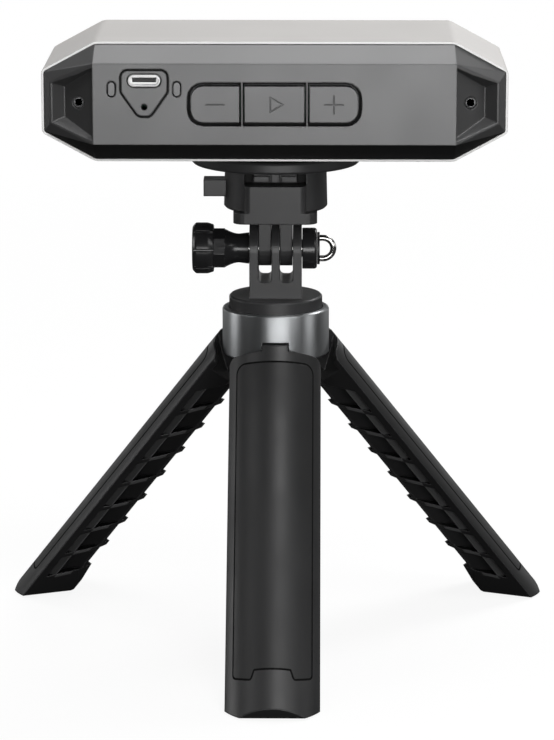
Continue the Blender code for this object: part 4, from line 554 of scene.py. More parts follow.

# %% [markdown]
# ## The rear cover and its keys
#
# The cover has a mid grey satin metallic coat, so each slope takes its own tone from what it mirrors. The
# slopes are flat, so the solid's shape stays and only the edges get round. The low bevel gets painted shade:
# a near-black finish on its faces, for the deep shade it lies in. The three keys lie in one rounded opening
# with a black seal behind.

# %% Rear cover and keys
cover_grey = finish("cover_grey", (0.114, 0.114, 0.115), 0.40, metallic=0.75, grain=4200.0, depth=0.008,
                    tone=0.04, gloss=0.03, edge=0.45, wear_and_glint=1.3, wear_and_glint_share=0.5)
# Painted shade for the low bevel of the cover: a near-black, dull finish.
cover_painted_shade = finish("cover_painted_shade", (0.012, 0.012, 0.012), 0.55, grain=4200.0, depth=0.008, tone=0.04,
                     gloss=0.03, edge=0.2, wear_and_glint=1.3, wear_and_glint_share=0.5, specular=0.15)
key_grey = finish("key_grey", (0.112, 0.112, 0.113), 0.40, metallic=0.75, grain=4600.0, depth=0.006,
                  tone=0.04, gloss=0.03, edge=0.3, wear_and_glint=1.2, wear_and_glint_share=0.5)
rubber = finish("black_rubber", (0.010, 0.010, 0.010), 0.75, grain=1800.0, depth=0.03, tone=0.2, edge=0.25,
                wear_and_glint=1.5, wear_and_glint_share=0.3, specular=0.25)
cover = softened("rear_cover", cover_grey, angle=9).data
cover.materials.append(cover_painted_shade)
direction, centre = numbers(cover.polygons, "normal", 3), numbers(cover.polygons, "center", 3)
least_down, least_out, bevel_drop = 0.45, 0.2, 9.5 * MM
# The faces of the low bevel, which look down and outward near the bottom, take the painted shade.
painted_shade_faces = ((direction[:, 2] < -least_down) & (direction[:, 1] < -least_out)
             & (centre[:, 2] < scanner_z - bevel_drop))
cover.polygons.foreach_set("material_index", painted_shade_faces.astype(np.int32))
softened("port_plate", cover_grey)
for key in ("minus_button", "play_button", "plus_button"):
    softened(key, key_grey)
softened("key_gasket", rubber)
print("cover and keys")

# %% [markdown]
# The groove round the port plate gets painted shadow: a thin black strip lies in it and draws the plate as
# a dark rounded triangle. Its outline is the plate's own, with each corner eased over the length that an arc
# of 1.7 mm needs there.

# %% Painted shadow round the port plate
plate_low, plate_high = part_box("port_plate")
plate_x = (plate_low.x + plate_high.x) / 2
plate_half = (plate_high.x - plate_low.x) / 2
tip_half, shoulder_drop = 1.55 * MM, 5.8 * MM
shoulder_z = plate_high.z - shoulder_drop
plate_corners = [(plate_x - tip_half, plate_low.z), (plate_x + tip_half, plate_low.z),
                 (plate_x + plate_half, shoulder_z), (plate_x + plate_half, plate_high.z),
                 (plate_x - plate_half, plate_high.z), (plate_x - plate_half, shoulder_z)]
plate_line = eased(plate_corners, np.array((0.88, 0.88, 0.54, 1.7, 1.7, 0.54)) * MM, closed=True, steps=9)
groove_shadow_section = np.array([(0.02, 0.16), (0.02, 0.75), (0.53, 0.75), (0.53, 0.16)]) * MM
# Painted shadow: the black strip in the groove, in the rubber finish.
carried("port_groove_painted_shadow", plate_line, groove_shadow_section, plate_low.y, rubber, "key_gasket", extra=True)
print("seal points", len(plate_line))

# %% [markdown]
# ## The socket
#
# The mouth of the socket is bright nickel with a rolled edge. Its white is partly painted reflection: a
# near-white, mostly diffuse finish. Its outline is a stadium: two half circles joined by straight lines. The
# wall is a closed section carried round it, thicker at the mouth where it is rolled. A plate of the same metal
# closes it behind, and a dark plate on that shows the slot of the tongue.

# %% Socket
# Partly painted reflection: near-white with little metal, so the shell reads white from any side.
nickel = finish("nickel_painted_white", (0.95, 0.95, 0.95), 0.35, metallic=0.15, grain=2500.0, depth=0.002, tone=0.03,
                edge=0.08, wear_and_glint=1.0, wear_and_glint_share=0.3, gloss=0.05)
tongue_finish = finish("tongue_plastic", (0.012, 0.012, 0.012), 0.45, grain=3000.0, depth=0.004, edge=0.1)
socket_low, socket_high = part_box("usb_c_shell")
socket_x, socket_z = (socket_low.x + socket_high.x) / 2, (socket_low.z + socket_high.z) / 2
socket_half, socket_round = (socket_high.x - socket_low.x) / 2, (socket_high.z - socket_low.z) / 2


def stadium(half, radius, steps=24):
    """Straight middle of half minus radius on each side, with a half circle at both ends."""
    angle = np.linspace(-np.pi / 2, np.pi / 2, steps)
    end = np.stack([half - radius + radius * np.cos(angle), radius * np.sin(angle)], axis=1)
    return np.vstack([end, -end])


wall = np.array([(0.0, 0.12), (0.0, 4.0), (-0.32, 4.0), (-0.32, 0.9), (-0.5, 0.4), (-0.5, 0.15), (-0.4, 0.0),
                 (-0.12, 0.0)]) * MM
socket_line = stadium(socket_half, socket_round) + (socket_x, socket_z)
carried("socket_shell", socket_line, wall, socket_low.y, nickel, "usb_c_shell", smooth=50)
back_inset, back_depths, slot_depths = -0.3 * MM, np.array((1.7, 2.0)) * MM, np.array((1.45, 1.75)) * MM
thin_plate("socket_back", grown(socket_line, back_inset)[0], socket_low.y + back_depths, nickel, "usb_c_shell")
slot_half, slot_taper, slot_top, slot_foot = 3.4 * MM, 0.2 * MM, 0.72 * MM, -0.56 * MM
slot_corners = np.array([(-slot_half + slot_taper, slot_foot), (slot_half - slot_taper, slot_foot),
                         (slot_half, slot_top), (-slot_half, slot_top)]) + (socket_x, socket_z)
softened("usb_c_tongue", tongue_finish, width=0.08)
thin_plate("socket_slot", slot_corners, socket_low.y + slot_depths, tongue_finish, "usb_c_tongue")
print("socket %.2f x %.2f mm" % (2 * socket_half / MM, 2 * socket_round / MM))

# %% [markdown]
# ## Indicator lenses and screws

# %% Lenses and screws
smoked = finish("smoked_lens", (0.065, 0.065, 0.068), 0.25, grain=2000.0, depth=0.002, edge=0.12, wear_and_glint=1.6,
                coat=0.4)
# Painted highlights: the edges of the screw heads are lightened to near white, for a bright ring and cross on the
# dark head.
screw_steel_painted_glints = finish("black_oxide_steel_painted_glints", (0.26, 0.26, 0.263), 0.35, metallic=0.3, grain=2500.0, depth=0.004,
                    edge=0.12, wear_and_glint=3.4, wear_and_glint_share=0.9)
for part, material, width in (("indicator_lens", smoked, 0.12), ("rear_screw", screw_steel_painted_glints, 0.07)):
    for side in ("_left", "_right"):
        softened(part + side, material, width=width)
print("lenses and screws")

# %% [markdown]
# ## The front: bezel, window and optics
#
# The side that looks at the scanned object has a black bezel and a dark window. Behind it stand two infrared
# cameras, a pattern projector, a colour camera and four fill lamps. Each module is a turned barrel with
# baffle rings round a domed lens.

# %% Bezel and window
satin_black = finish("satin_black", (0.020, 0.020, 0.021), 0.36, grain=3600.0, depth=0.008, tone=0.12,
                     edge=0.3, wear_and_glint=2.2, wear_and_glint_share=0.4)
softened("front_bezel", satin_black)
glass, tree, inputs, place = started("tinted_glass", {
    "Base Color": (0.30, 0.32, 0.36, 1.0), "Transmission Weight": 0.92, "IOR": 1.5})
tree.links.new(span(tree, noise(tree, place, 70.0, 4.0), 0.0, 1.0, 0.02, 0.07), inputs["Roughness"])
softened("front_glass", glass, width=0.2)
print("bezel and window")

# %% Optical modules
barrel_black = finish("barrel_black", (0.045, 0.045, 0.047), 0.34, grain=3000.0, depth=0.004, edge=0.15,
                      metallic=0.3, wear_and_glint=2.0)


def lens_glass(name, tint):
    """Coated lens: black glass under a clear coat, with a coloured tint that grows toward the rim."""
    material, tree, inputs, place = started(name, {"Coat Weight": 1.0, "Coat Roughness": 0.02, "Metallic": 0.6})
    rim = node(tree, "ShaderNodeLayerWeight", (("Blend", 0.35),)).outputs["Facing"]
    tree.links.new(mix(tree, rim, (0.006, 0.006, 0.010, 1.0), tint), inputs["Base Color"])
    tree.links.new(span(tree, noise(tree, place, 900.0, 2.0), 0.0, 1.0, 0.05, 0.14), inputs["Roughness"])
    return material


baffles, baffle_lip, baffle_pitch, baffle_drop, first_lip = 4, 0.16, 0.36, 0.3, 0.15
mouth_margin, seat_depth, barrel_chamfer, lens_lift = 1.0 * MM, 1.7 * MM, 0.3 * MM, 0.02 * MM
lens_share, dome_share = 0.97, 0.34


def optical_module(part, lens_radius, tint):
    """Barrel: rings of falling radius step down to the lens seat. Lens: a dome, place = rise * cos(turn)
    and radius = lens radius * sin(turn), from the pole to the rim."""
    low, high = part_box(part)
    centre = ((low.x + high.x) / 2, 0, scanner_z)
    outer, front = (high.x - low.x) / 2, high.y
    seat, mouth = front - seat_depth, lens_radius + mouth_margin
    profile = [(outer, low.y), (outer, front - barrel_chamfer), (outer - barrel_chamfer, front), (mouth, front)]
    for k in range(baffles):
        radius = mouth - (mouth - lens_radius) * k / baffles
        profile += [(radius, front - (first_lip + baffle_pitch * k) * MM),
                    (radius - baffle_lip * MM, front - (baffle_drop + baffle_pitch * k) * MM)]
    profile += [(lens_radius, seat), (0.0, seat), (0.0, low.y)]
    grid_piece(part + "_barrel", turned_grid(profile, centre, (0, 1, 0)), barrel_black, part, smooth=30,
               close_rows=True)
    turn = np.linspace(0, np.pi / 2, 14)
    rise, lens_seat = dome_share * lens_radius, seat + lens_lift
    dome = np.stack([lens_radius * lens_share * np.sin(turn), lens_seat + rise * np.cos(turn)], axis=1)
    dome = np.vstack([dome, [(0.0, lens_seat)]])
    grid_piece(part + "_lens", turned_grid(dome, centre, (0, 1, 0)), lens_glass(part + "_coating", tint), part,
               extra=True)


for part, lens_radius, tint in (("left_infrared_camera", 3.4, (0.16, 0.03, 0.10, 1.0)),
                                ("right_infrared_camera", 3.4, (0.16, 0.03, 0.10, 1.0)),
                                ("pattern_projector", 4.6, (0.03, 0.07, 0.20, 1.0)),
                                ("color_camera", 2.3, (0.04, 0.12, 0.10, 1.0))):
    optical_module(part, lens_radius * MM, tint)
lamp_white = finish("lamp_white", (0.80, 0.78, 0.66), 0.3, grain=2000.0, depth=0.003, edge=0.2, wear_and_glint=1.0,
                    coat=0.5)
softened("fill_lamp_board", lamp_white, width=0.15)
print("four optical modules and the lamps")

# %% [markdown]
# ## Parts inside
#
# Inner parts are almost never seen, but they keep their solids and get the finish of the real thing: sheet
# steel, green solder mask, brass.

# %% Inner parts
bright_steel = finish("bright_steel", (0.78, 0.775, 0.765), 0.2, metallic=0.9, grain=2500.0, depth=0.002,
                      tone=0.04, edge=0.1, wear_and_glint=1.1, wear_and_glint_share=0.3, gloss=0.05)
inner = dict.fromkeys(("optical_frame", "minus_switch", "play_switch", "plus_switch", "mount_screw",
                       "clamp_bolt", "clamp_nut", "hub_screw", "hinge_pin_front", "hinge_pin_left",
                       "hinge_pin_right"), bright_steel)
inner["mounting_insert"] = finish("turned_brass", (0.55, 0.38, 0.13), 0.3, metallic=1.0, depth=0.004,
                                  turned=5000.0)
inner["main_board"] = finish("solder_mask", (0.01, 0.09, 0.045), 0.35, grain=1500.0, depth=0.01, coat=0.3)
for name, material in inner.items():
    materials = frame["nodes"][name].data.materials
    materials.clear()
    materials.append(material)
print(len(inner), "inner parts dressed")

# %% [markdown]
# ## The quick-release mount
#
# A black round plate is screwed under the scanner, and a satin black body takes it and carries two prongs.
# Both are mouldings with rounded edges, so they are softened copies. The real prongs are clamped tight, with
# no light between them, so the points on their sides move outward by most of the solid's running gap.

# %% Mount
nylon = finish("glass_filled_nylon", (0.038, 0.038, 0.039), 0.38, grain=3600.0, depth=0.008, tone=0.12,
               edge=0.5, wear_and_glint=2.0, wear_and_glint_share=0.35, specular=0.4)
softened("mount_disc", nylon)
softened("mount_pad", rubber)
softened("release_slide", nylon)
release = softened("quick_release_body", nylon).data
spots = numbers(release.vertices, "co", 3)
prong_reach, near, growth = 9 * MM, 0.02 * MM, 0.3 * MM
foot_z = spots[np.abs(spots[:, 1] - axis_y) > prong_reach, 2].min()
prong_x = np.abs(spots[spots[:, 2] < clamp_z, 0])
prong_centre, prong_half = (prong_x.min() + prong_x.max()) / 2, (prong_x.max() - prong_x.min()) / 2
off_centre = np.abs(spots[:, 0]) - prong_centre
on_side = (spots[:, 2] < foot_z + near) & (np.abs(np.abs(off_centre) - prong_half) < near)
spots[:, 0] += on_side * growth * np.sign(off_centre) * np.sign(spots[:, 0])
release.vertices.foreach_set("co", spots.ravel())
print("prongs %.2f mm thick" % (2 * (prong_half + growth) / MM))

# %% [markdown]
# The return spring of the slide stands between the slide and a fixed wall. It has to get shorter as the tab is
# pressed; here it is a softened copy of its solid, with a mesh of its own.

# %% Return spring
spring = softened("release_spring", bright_steel)
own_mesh(spring)

# %% [markdown]
# The pocket in the front of the body holds a tongue of the release slide. Beside the tongue one looks into
# the dark of the pocket, and that shade is painted: a thin near-black plate lies on its rear wall there.

# %% Painted shade in the pocket
shade_plate_x, shade_plate_z = np.array((6.15, 8.7)) * MM, np.array((133.15, 137.6)) * MM
shade_plate_depths = np.array((8.22, 8.55)) * MM
corners = np.array([(shade_plate_x[i], shade_plate_z[k]) for i, k in ((0, 0), (1, 0), (1, 1), (0, 1))])
# Painted shade: one thin plate in the rubber finish on each side of the tongue.
for side, sign in (("left", -1), ("right", 1)):
    thin_plate("pocket_painted_shade_" + side, corners * (sign, 1), axis_y - shade_plate_depths, rubber,
               "quick_release_body")
print("pocket lined")

# %% [markdown]
# ## Thumb knob
#
# The knob is turned and then notched eight times for grip. Its radius is a function of two parameters: the
# profile gives the radius along the bolt, and the notches take a little away at eight angles, but only where
# the profile is wider than the bottom of a notch. The neck has eight flats, and behind them a round waist.

# %% Thumb knob
gloss_black = finish("gloss_black", (0.018, 0.018, 0.019), 0.24, grain=2600.0, depth=0.003, tone=0.12,
                     edge=0.3, wear_and_glint=2.4, wear_and_glint_share=0.4, gloss=0.05)
knob_low, knob_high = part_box("thumb_knob")
knob_end, knob_tip = knob_low.x, knob_high.x
knob_radius, bore_radius, tip_radius, bore_depth, tip_reach = np.array((7.3, 2.8, 4.5, 2.0, 0.12)) * MM
grip_length, neck_length, waist_length = np.array((6.1, 3.2, 4.1)) * MM
shoulder_x = knob_end + grip_length
neck_x = shoulder_x + neck_length
corner_line = [(0.0, 0.45), (4.4, 0.45), (5.0, 0.0), (6.25, 0.0), (7.3, 1.0), (7.3, 4.4), (6.75, 6.1),
               (5.94, 6.1), (5.94, 9.25)]
knob_ease = (0, 0.3, 0.4, 0.4, 0.4, 0.4, 0.3, 0.3, 0)
knob_profile = eased(np.array(corner_line) * MM, np.array(knob_ease) * MM, steps=7)
knob_profile[:, 1] += knob_end
share = np.linspace(0, 1, 16)
waist = np.stack([(5.5 - 1.35 * np.sin(share * np.pi / 2)) * MM, neck_x + waist_length * share], axis=1)
tail = [(tip_radius, knob_tip + tip_reach), (bore_radius, knob_tip + tip_reach),
        (bore_radius, knob_tip - bore_depth), (0.0, knob_tip - bore_depth)]
knob_profile = np.vstack([knob_profile, waist, tail])
columns = 640
angle = np.linspace(0, 2 * np.pi, columns, endpoint=False)
notch_turn, flat_turn, pitch = math.radians(4.5), math.radians(37.3), 2 * np.pi / 8
notch_half, notch_depth, notch_ease = 0.36 * MM, 0.75 * MM, 0.3 * MM


def off_mark(turn):
    """Signed angle from the nearest of eight marks, of which one stands at the given turn from the top."""
    return (angle - turn + pitch / 2) % pitch - pitch / 2


away = np.abs(off_mark(notch_turn)) * knob_radius
ceiling = knob_radius - notch_depth * step((notch_half + 0.16 * MM - away) / notch_ease)
radius = np.minimum(knob_profile[:, :1], ceiling[None])
flats = np.cos(pitch / 2) / np.cos(pitch / 2 - np.abs(off_mark(flat_turn)))
on_neck = ((knob_profile[:, 1] > shoulder_x) & (knob_profile[:, 1] < neck_x)).astype(float)[:, None]
radius = radius * (1 - on_neck * (1 - flats[None]))
knob_points = np.stack([np.broadcast_to(knob_profile[:, 1:], radius.shape), axis_y + radius * np.sin(angle),
                        clamp_z + radius * np.cos(angle)], axis=-1)
grid_piece("knob_shown", knob_points, gloss_black, "thumb_knob", smooth=32)
print("knob notches", columns // 8, "columns each")

# %% [markdown]
# ## Nut cap, washer and wire ring
#
# On the other side of the clamp a round cap holds the nut. The ring is bent from round wire: a circle is
# carried along a path of two straight legs and a half turn.

# %% Nut cap
cap_low, cap_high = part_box("nut_cap")
cap_radius = (cap_high.z - cap_low.z) / 2
cap_start, cap_end, cap_floor = cap_low.x - 0.15 * MM, cap_high.x + 0.27 * MM, cap_high.x - 0.6 * MM
cap_seat = 4.9 * MM
cap_section = eased([(cap_seat, cap_start), (cap_radius, cap_start), (cap_radius, cap_end),
                     (bore_radius, cap_end), (bore_radius, cap_floor), (cap_seat, cap_floor)],
                    np.array((0.05, 0.3, 0.95, 0.1, 0.05, 0.05)) * MM, closed=True, steps=7)
grid_piece("nut_cap_shown", turned_grid(cap_section, (0, axis_y, clamp_z), (1, 0, 0)), gloss_black, "nut_cap",
           close_rows=True)
softened("end_washer", satin_black, width=0.2)
print("cap radius %.2f mm" % (cap_radius / MM))

# %% Wire ring
chrome = finish("polished_wire", (0.66, 0.65, 0.64), 0.1, metallic=1.0, grain=900.0, depth=0.001, tone=0.03,
                edge=0.05, wear_and_glint=1.0, gloss=0.03)
ring_low, ring_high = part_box("tether_ring")
wire_radius = (ring_high.y - ring_low.y) / 2
bend_radius = (ring_high.z - ring_low.z) / 2 - wire_radius
bend_x = ring_high.x - wire_radius - bend_radius
heading = np.linspace(np.pi / 2, -np.pi / 2, 40)
bend = np.stack([bend_x + bend_radius * np.cos(heading), bend_radius * np.sin(heading)], axis=1)
path = np.vstack([[(ring_low.x, bend_radius)], bend, [(ring_low.x, -bend_radius)]])
outward = np.concatenate([heading[:1], heading, heading[-1:]])[:, None]
wire_turn = np.linspace(0, 2 * np.pi, 24, endpoint=False)
wire = wire_radius * np.cos(wire_turn)
ring_points = np.stack(np.broadcast_arrays(path[:, :1] + np.cos(outward) * wire,
                                           axis_y + wire_radius * np.sin(wire_turn),
                                           clamp_z + path[:, 1:] + np.sin(outward) * wire), axis=-1)
grid_piece("wire_ring", ring_points, chrome, "tether_ring", caps=True)
print("wire %.2f mm thick" % (2 * wire_radius / MM))

# %% [markdown]
# ## Fork head and collar
#
# The fork is one moulding on its round plate. Under it sits a turned metal collar with a notch over each leg.
# The collar is a section carried round the axis whose lower edge rises where a notch is.

# %% Fork head
softened("fork_head", nylon)
softened("hub", satin_black)
print("fork head and hub")

# %% Collar
collar_metal = finish("turned_collar", (0.38, 0.391, 0.399), 0.42, metallic=1.0, grain=3000.0, depth=0.0015,
                      tone=0.04, edge=0.15, wear_and_glint=1.5, wear_and_glint_share=0.6, turned=7000.0, anisotropic=0.7,
                      spin=0.25)
collar_low, collar_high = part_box("collar")
collar_radius, collar_top = collar_high.x, collar_high.z
collar_inner = collar_radius - 1.65 * MM
notch_top = collar_low.z + 5.75 * MM
notch_half_angle = math.asin(3.95 * MM / collar_radius)
blend_angle, top_edge, third = math.radians(0.5), 0.7 * MM, 2 * np.pi / 3
rim_angles = [math.radians(a) + s * (notch_half_angle + d * blend_angle) for a in (-90, 30, 150)
              for s in (-1, 1) for d in (-0.5, -0.25, 0, 0.25, 0.5)]
collar_turn = np.unique(np.concatenate([np.linspace(-np.pi, np.pi, 241)[:-1], rim_angles]))
off = np.abs((collar_turn + np.pi / 2 + third / 2) % third - third / 2)
in_notch = step((notch_half_angle - off) / blend_angle + 0.5)
lower = collar_low.z + (notch_top - collar_low.z) * in_notch
low_edge = (0.5 - 0.35 * in_notch) * MM
collar_rows = [(collar_radius - low_edge, lower), (collar_radius, lower + low_edge),
               (collar_radius, collar_top - top_edge),
               (collar_radius - 0.25 * top_edge, collar_top - 0.4 * top_edge),
               (collar_radius - top_edge, collar_top), (collar_inner, collar_top), (collar_inner, lower)]
collar_points = np.stack([
    np.stack(np.broadcast_arrays(r * np.cos(collar_turn), axis_y + r * np.sin(collar_turn), z), axis=-1)
    for r, z in collar_rows])
grid_piece("collar_shown", collar_points, collar_metal, "collar", smooth=25, close_rows=True)
print("collar columns", len(collar_turn))

# %% [markdown]
# ## Legs
#
# Each leg is a third of a round bar with pockets on its flat sides. The moulding keeps its solid shape with
# soft edges. Its round back and the long panel on it are patches of one round surface, so a leg's own frame
# is used, with t outward, s down the leg and a turn round it.

# %% Leg mouldings
leg_grey = finish("leg_grey", (0.0140, 0.0140, 0.0145), 0.40, grain=3400.0, depth=0.010, tone=0.12, edge=0.35,
                  wear_and_glint=1.6, wear_and_glint_share=0.35)
# The ribbed moulding lightens its edges five times: partly edge rubbing, partly painted glints along the pocket
# edges.
leg_ribbed_wear_and_glints = finish("leg_ribbed_wear_and_glints", (0.016, 0.016, 0.0165), 0.38, grain=3400.0, depth=0.010, tone=0.12,
                    edge=0.45, wear_and_glint=5.0, wear_and_glint_share=0.8)
for side in SIDES:
    softened("leg_" + side, leg_ribbed_wear_and_glints)
    softened("foot_pad_" + side, rubber, width=0.2)
print("leg mouldings")

# %% The frame of a leg
leg_radius, pivot_radius, splay = 15.1 * MM, 9.0 * MM, math.radians(40.02)


def leg_points(side, t, lateral, s):
    """Point of a leg: hinge + lateral * across + (t - pivot radius) * outward normal + s * down the leg."""
    joint = next(j for j in frame["joints"] if j["child"] == side + "_leg")
    hinge, across = np.array(joint["pos_m"]), np.array(joint["axis"])
    out = hinge - (0, axis_y, 0)
    out = np.array((out[0], out[1], 0)) / np.hypot(out[0], out[1])
    up = np.array((0.0, 0.0, 1.0))
    normal = out * math.cos(splay) + up * math.sin(splay)
    down = out * math.sin(splay) - up * math.cos(splay)
    return hinge + lateral[..., None] * across + (t - pivot_radius)[..., None] * normal + s[..., None] * down


def leg_patch(side, turn, top, foot, section):
    """Patch on the round back: for each section row (radius, share, offset), the points at that radius
    whose s is top * (1 - share) + foot * share + offset."""
    return np.stack([leg_points(side, radius * np.cos(turn), radius * np.sin(turn),
                                top * (1 - share) + foot * share + offset)
                     for radius, share, offset in section], axis=1)


def corner_fall(size, away):
    """How far an edge falls back at a rounded corner: size minus the height of the circle there."""
    short = np.maximum(size - away, 0)
    return size - np.sqrt(np.maximum(size ** 2 - short ** 2, 0))


# %% [markdown]
# The outer skin of a leg is one smooth round surface, which the solid gives as strips. A thin patch lies on
# it: its upper edge runs round the shoulders and up over the hinge tab, its lower edge follows the foot.

# %% Leg skins
skin_half, shoulder_end = math.radians(58.3), math.radians(59.3)
shoulder_top, shoulder_round, shoulder_fall = 6.6 * MM, 2.9 * MM, 0.1 * leg_radius
foot_end, foot_t, outer_slope, inner_slope = 116.97 * MM, 12.2 * MM, 1.5 / 2.9, 0.8397
tab_turn, tab_gap, foot_gap = math.asin(3.65 * MM / leg_radius), 0.05 * MM, 0.1 * MM
skin_turn = np.unique(np.concatenate([np.linspace(-skin_half, skin_half, 121), [-tab_turn, tab_turn],
                                      [-tab_turn * 0.995, tab_turn * 0.995]]))
skin_t = leg_radius * np.cos(skin_turn)
shoulder_edge = (shoulder_top - shoulder_fall * (1 - np.cos(skin_turn))
                 + corner_fall(shoulder_round, (shoulder_end - np.abs(skin_turn)) * leg_radius))
tab_edge = (skin_t - pivot_radius) * math.tan(splay) + tab_gap
skin_top = np.where(np.abs(skin_turn) < tab_turn * 0.999, tab_edge, shoulder_edge)
skin_foot = np.where(skin_t > foot_t, foot_end - outer_slope * (skin_t - foot_t),
                     foot_end - inner_slope * (foot_t - skin_t)) - foot_gap
skin_section = np.array([(-0.35, 0, 0.0), (-0.03, 0, 0.0), (0.015, 0, 0.06), (0.015, 1, -0.06),
                         (-0.03, 1, 0.0), (-0.35, 1, 0.0)]) * (MM, 1, MM) + (leg_radius, 0, 0)
for side in SIDES:
    keep_flats(grid_piece("leg_skin_" + side, leg_patch(side, skin_turn, skin_top, skin_foot, skin_section),
                          leg_grey, "leg_" + side, extra=True, smooth=30, caps=True))
print("leg skin rows", len(skin_turn))

# %% [markdown]
# The flat sides of a leg have slanted ribs between their pockets. Each rib has a raised face on its inner
# half, and a thin wall runs from rib to rib and parts the pockets along the leg. Both get a painted highlight:
# a grey several times lighter than the leg's, for the light lines that they catch. All are small boxes,
# so their corners are worked out together: q runs across the flat side, s down the leg, rise off the side.

# %% Rib faces and pocket walls
# Painted highlight: the rib faces and walls are a grey about six times lighter than the leg moulding.
rib_painted_highlight = finish("rib_painted_highlight", (0.090, 0.090, 0.091), 0.42, grain=3400.0, depth=0.010, tone=0.12, edge=0.15,
                  wear_and_glint=1.5)
rib_start, rib_pitch, rib_thickness, rib_slope, pockets = 12.2 * MM, 10.602 * MM, 1.9 * MM, 1.31, 8
side_turn, side_inset, face_inset, wall_lap = math.radians(60), 0.18 * MM, 0.3 * MM, 0.2 * MM


def box_rows(q_range, s_first, s_last, rise_range):
    """Corners of one box per pocket: s keeps to the slant of the ribs, s = start + slope * t at each q."""
    q = np.array(q_range)[None, :, None, None]
    rise = np.array(rise_range)[None, None, None, :] - side_inset
    t = q * math.cos(side_turn) - rise * math.sin(side_turn)
    lateral = q * math.sin(side_turn) + rise * math.cos(side_turn)
    s = np.stack([s_first, s_last], axis=1)[:, None, :, None] + rib_slope * t
    return np.stack(np.broadcast_arrays(t, lateral, s), axis=-1)


pocket_start = rib_start + rib_pitch * np.arange(pockets)
rib_top = pocket_start + rib_pitch - rib_thickness
face_rows = box_rows((5.6 * MM, 9.9 * MM), rib_top + face_inset, rib_top + rib_thickness - face_inset,
                     (-0.3 * MM, 0.05 * MM))
wall_rows = box_rows((9.7 * MM, 10.1 * MM), pocket_start - wall_lap, rib_top + wall_lap,
                     (-3.0 * MM, -0.25 * MM))
corners = np.concatenate([face_rows, wall_rows]).reshape(-1, 3)
corners = np.vstack([corners, corners * (1, -1, 1)])
cube_faces = np.array([(0, 1, 3, 2), (4, 6, 7, 5), (0, 4, 5, 1), (2, 3, 7, 6), (0, 2, 6, 4), (1, 5, 7, 3)])
box_faces = (np.arange(0, len(corners), 8)[:, None, None] + cube_faces).reshape(-1, 4).tolist()
for side in SIDES:
    name = "leg_ribs_" + side
    piece(name, made_mesh(name, leg_points(side, *corners.T), box_faces), rib_painted_highlight, "leg_" + side, extra=True)
print("rib boxes on each leg", len(corners) // 8)

# %% [markdown]
# The panel lies in the round back. Its long sides are straight, its corners are round, and its lower edge
# rises in the middle, where the foot begins. More columns stand near the long sides, where the corners are.

# %% Panel patches
inlay_grey = finish("inlay_grey", (0.0100, 0.0100, 0.0104), 0.44, grain=4800.0, depth=0.012, tone=0.1,
                    edge=0.15, wear_and_glint=1.6, wear_and_glint_share=0.3, specular=0.42)
panel_half, corner_band = math.radians(44.5), math.radians(4.5)
panel_top, panel_foot = 10.3 * MM, 106.25 * MM
panel_corner, foot_corner, panel_notch = 2.8 * MM, 0.9 * MM, 2.7 * MM
notch_angle, notch_blend = math.radians(19), math.radians(5)
top_fall, foot_fall = 0.2 * leg_radius, 0.5 * leg_radius
half_turn = np.concatenate([-panel_half + corner_band * np.linspace(0, 1, 10)[:-1] ** 2,
                            np.linspace(-panel_half + corner_band, 0, 60)])
panel_turn = np.concatenate([half_turn, -half_turn[-2::-1]])
away = (panel_half - np.abs(panel_turn)) * leg_radius
in_foot = 1 - step((np.abs(panel_turn) - notch_angle) / notch_blend)
beyond = np.maximum(math.cos(notch_angle + notch_blend) - np.cos(panel_turn), 0)
top_line = panel_top + corner_fall(panel_corner, away) - top_fall * (1 - np.cos(panel_turn))
foot_line = panel_foot - panel_notch * in_foot - corner_fall(foot_corner, away) - foot_fall * beyond
soft, thick, panel_face = 0.16 * MM, 0.9 * MM, leg_radius + 0.035 * MM
panel_section = [(panel_face - soft, 0, 0), (panel_face, 0, soft), (panel_face, 1, -soft),
                 (panel_face - soft, 1, 0), (panel_face - thick, 1, 0), (panel_face - thick, 0, 0)]
for side in SIDES:
    keep_flats(grid_piece("panel_" + side, leg_patch(side, panel_turn, top_line, foot_line, panel_section),
                          inlay_grey, "leg_inlay_" + side, smooth=30, caps=True))
print("panel rows", len(panel_turn))

# %% [markdown]
# A deep groove runs round each panel and reads as a dark line. Its deep shadow is painted: a thin black
# strip lies in the groove, carried along the same outline, once more with `grown`.

# %% Painted shadow round the panels
# Painted shadow: a near-black, dull finish for the strips in the grooves.
panel_groove_painted_shadow = finish("panel_groove_painted_shadow", (0.003, 0.003, 0.003), 0.8, grain=1800.0, depth=0.01, tone=0.2, edge=0.1,
                    wear_and_glint=1.2, wear_and_glint_share=0.2, specular=0.08)
along = np.concatenate([panel_turn, panel_turn[::-1]]) * leg_radius
down = np.concatenate([top_line, foot_line[::-1]])
keep = np.append(True, np.hypot(np.diff(along), np.diff(down)) > 1e-6)
panel_line = np.stack([along[keep], down[keep]], axis=1)
panel_shadow_section = np.array([(0.46, -0.4), (0.46, 0.03), (-0.1, 0.03), (-0.1, -0.4)]) * MM
panel_shadow_rows = grown(panel_line, panel_shadow_section[:, 0])
panel_shadow_turn, reach = panel_shadow_rows[..., 0] / leg_radius, leg_radius + panel_shadow_section[:, 1:]
for side in SIDES:
    panel_shadow_points = leg_points(side, reach * np.cos(panel_shadow_turn), reach * np.sin(panel_shadow_turn), panel_shadow_rows[..., 1])
    grid_piece("panel_groove_shadow_" + side, panel_shadow_points, panel_groove_painted_shadow, "leg_" + side, extra=True, close_rows=True)
print("seam points", len(panel_line))

# %% [markdown]
# ## Floor, backdrop and light
#
# The photograph has a plain white ground. The camera sees the floor and the world as white, while the object
# gets its light from soft boxes, as in a small studio. The space in front of the object stays dark, which
# gives black plastic its depth, and the bright sweep behind shows in reflections at the sides. The floor
# turns from a lit surface near the object, which keeps the shadow, to plain white further out.

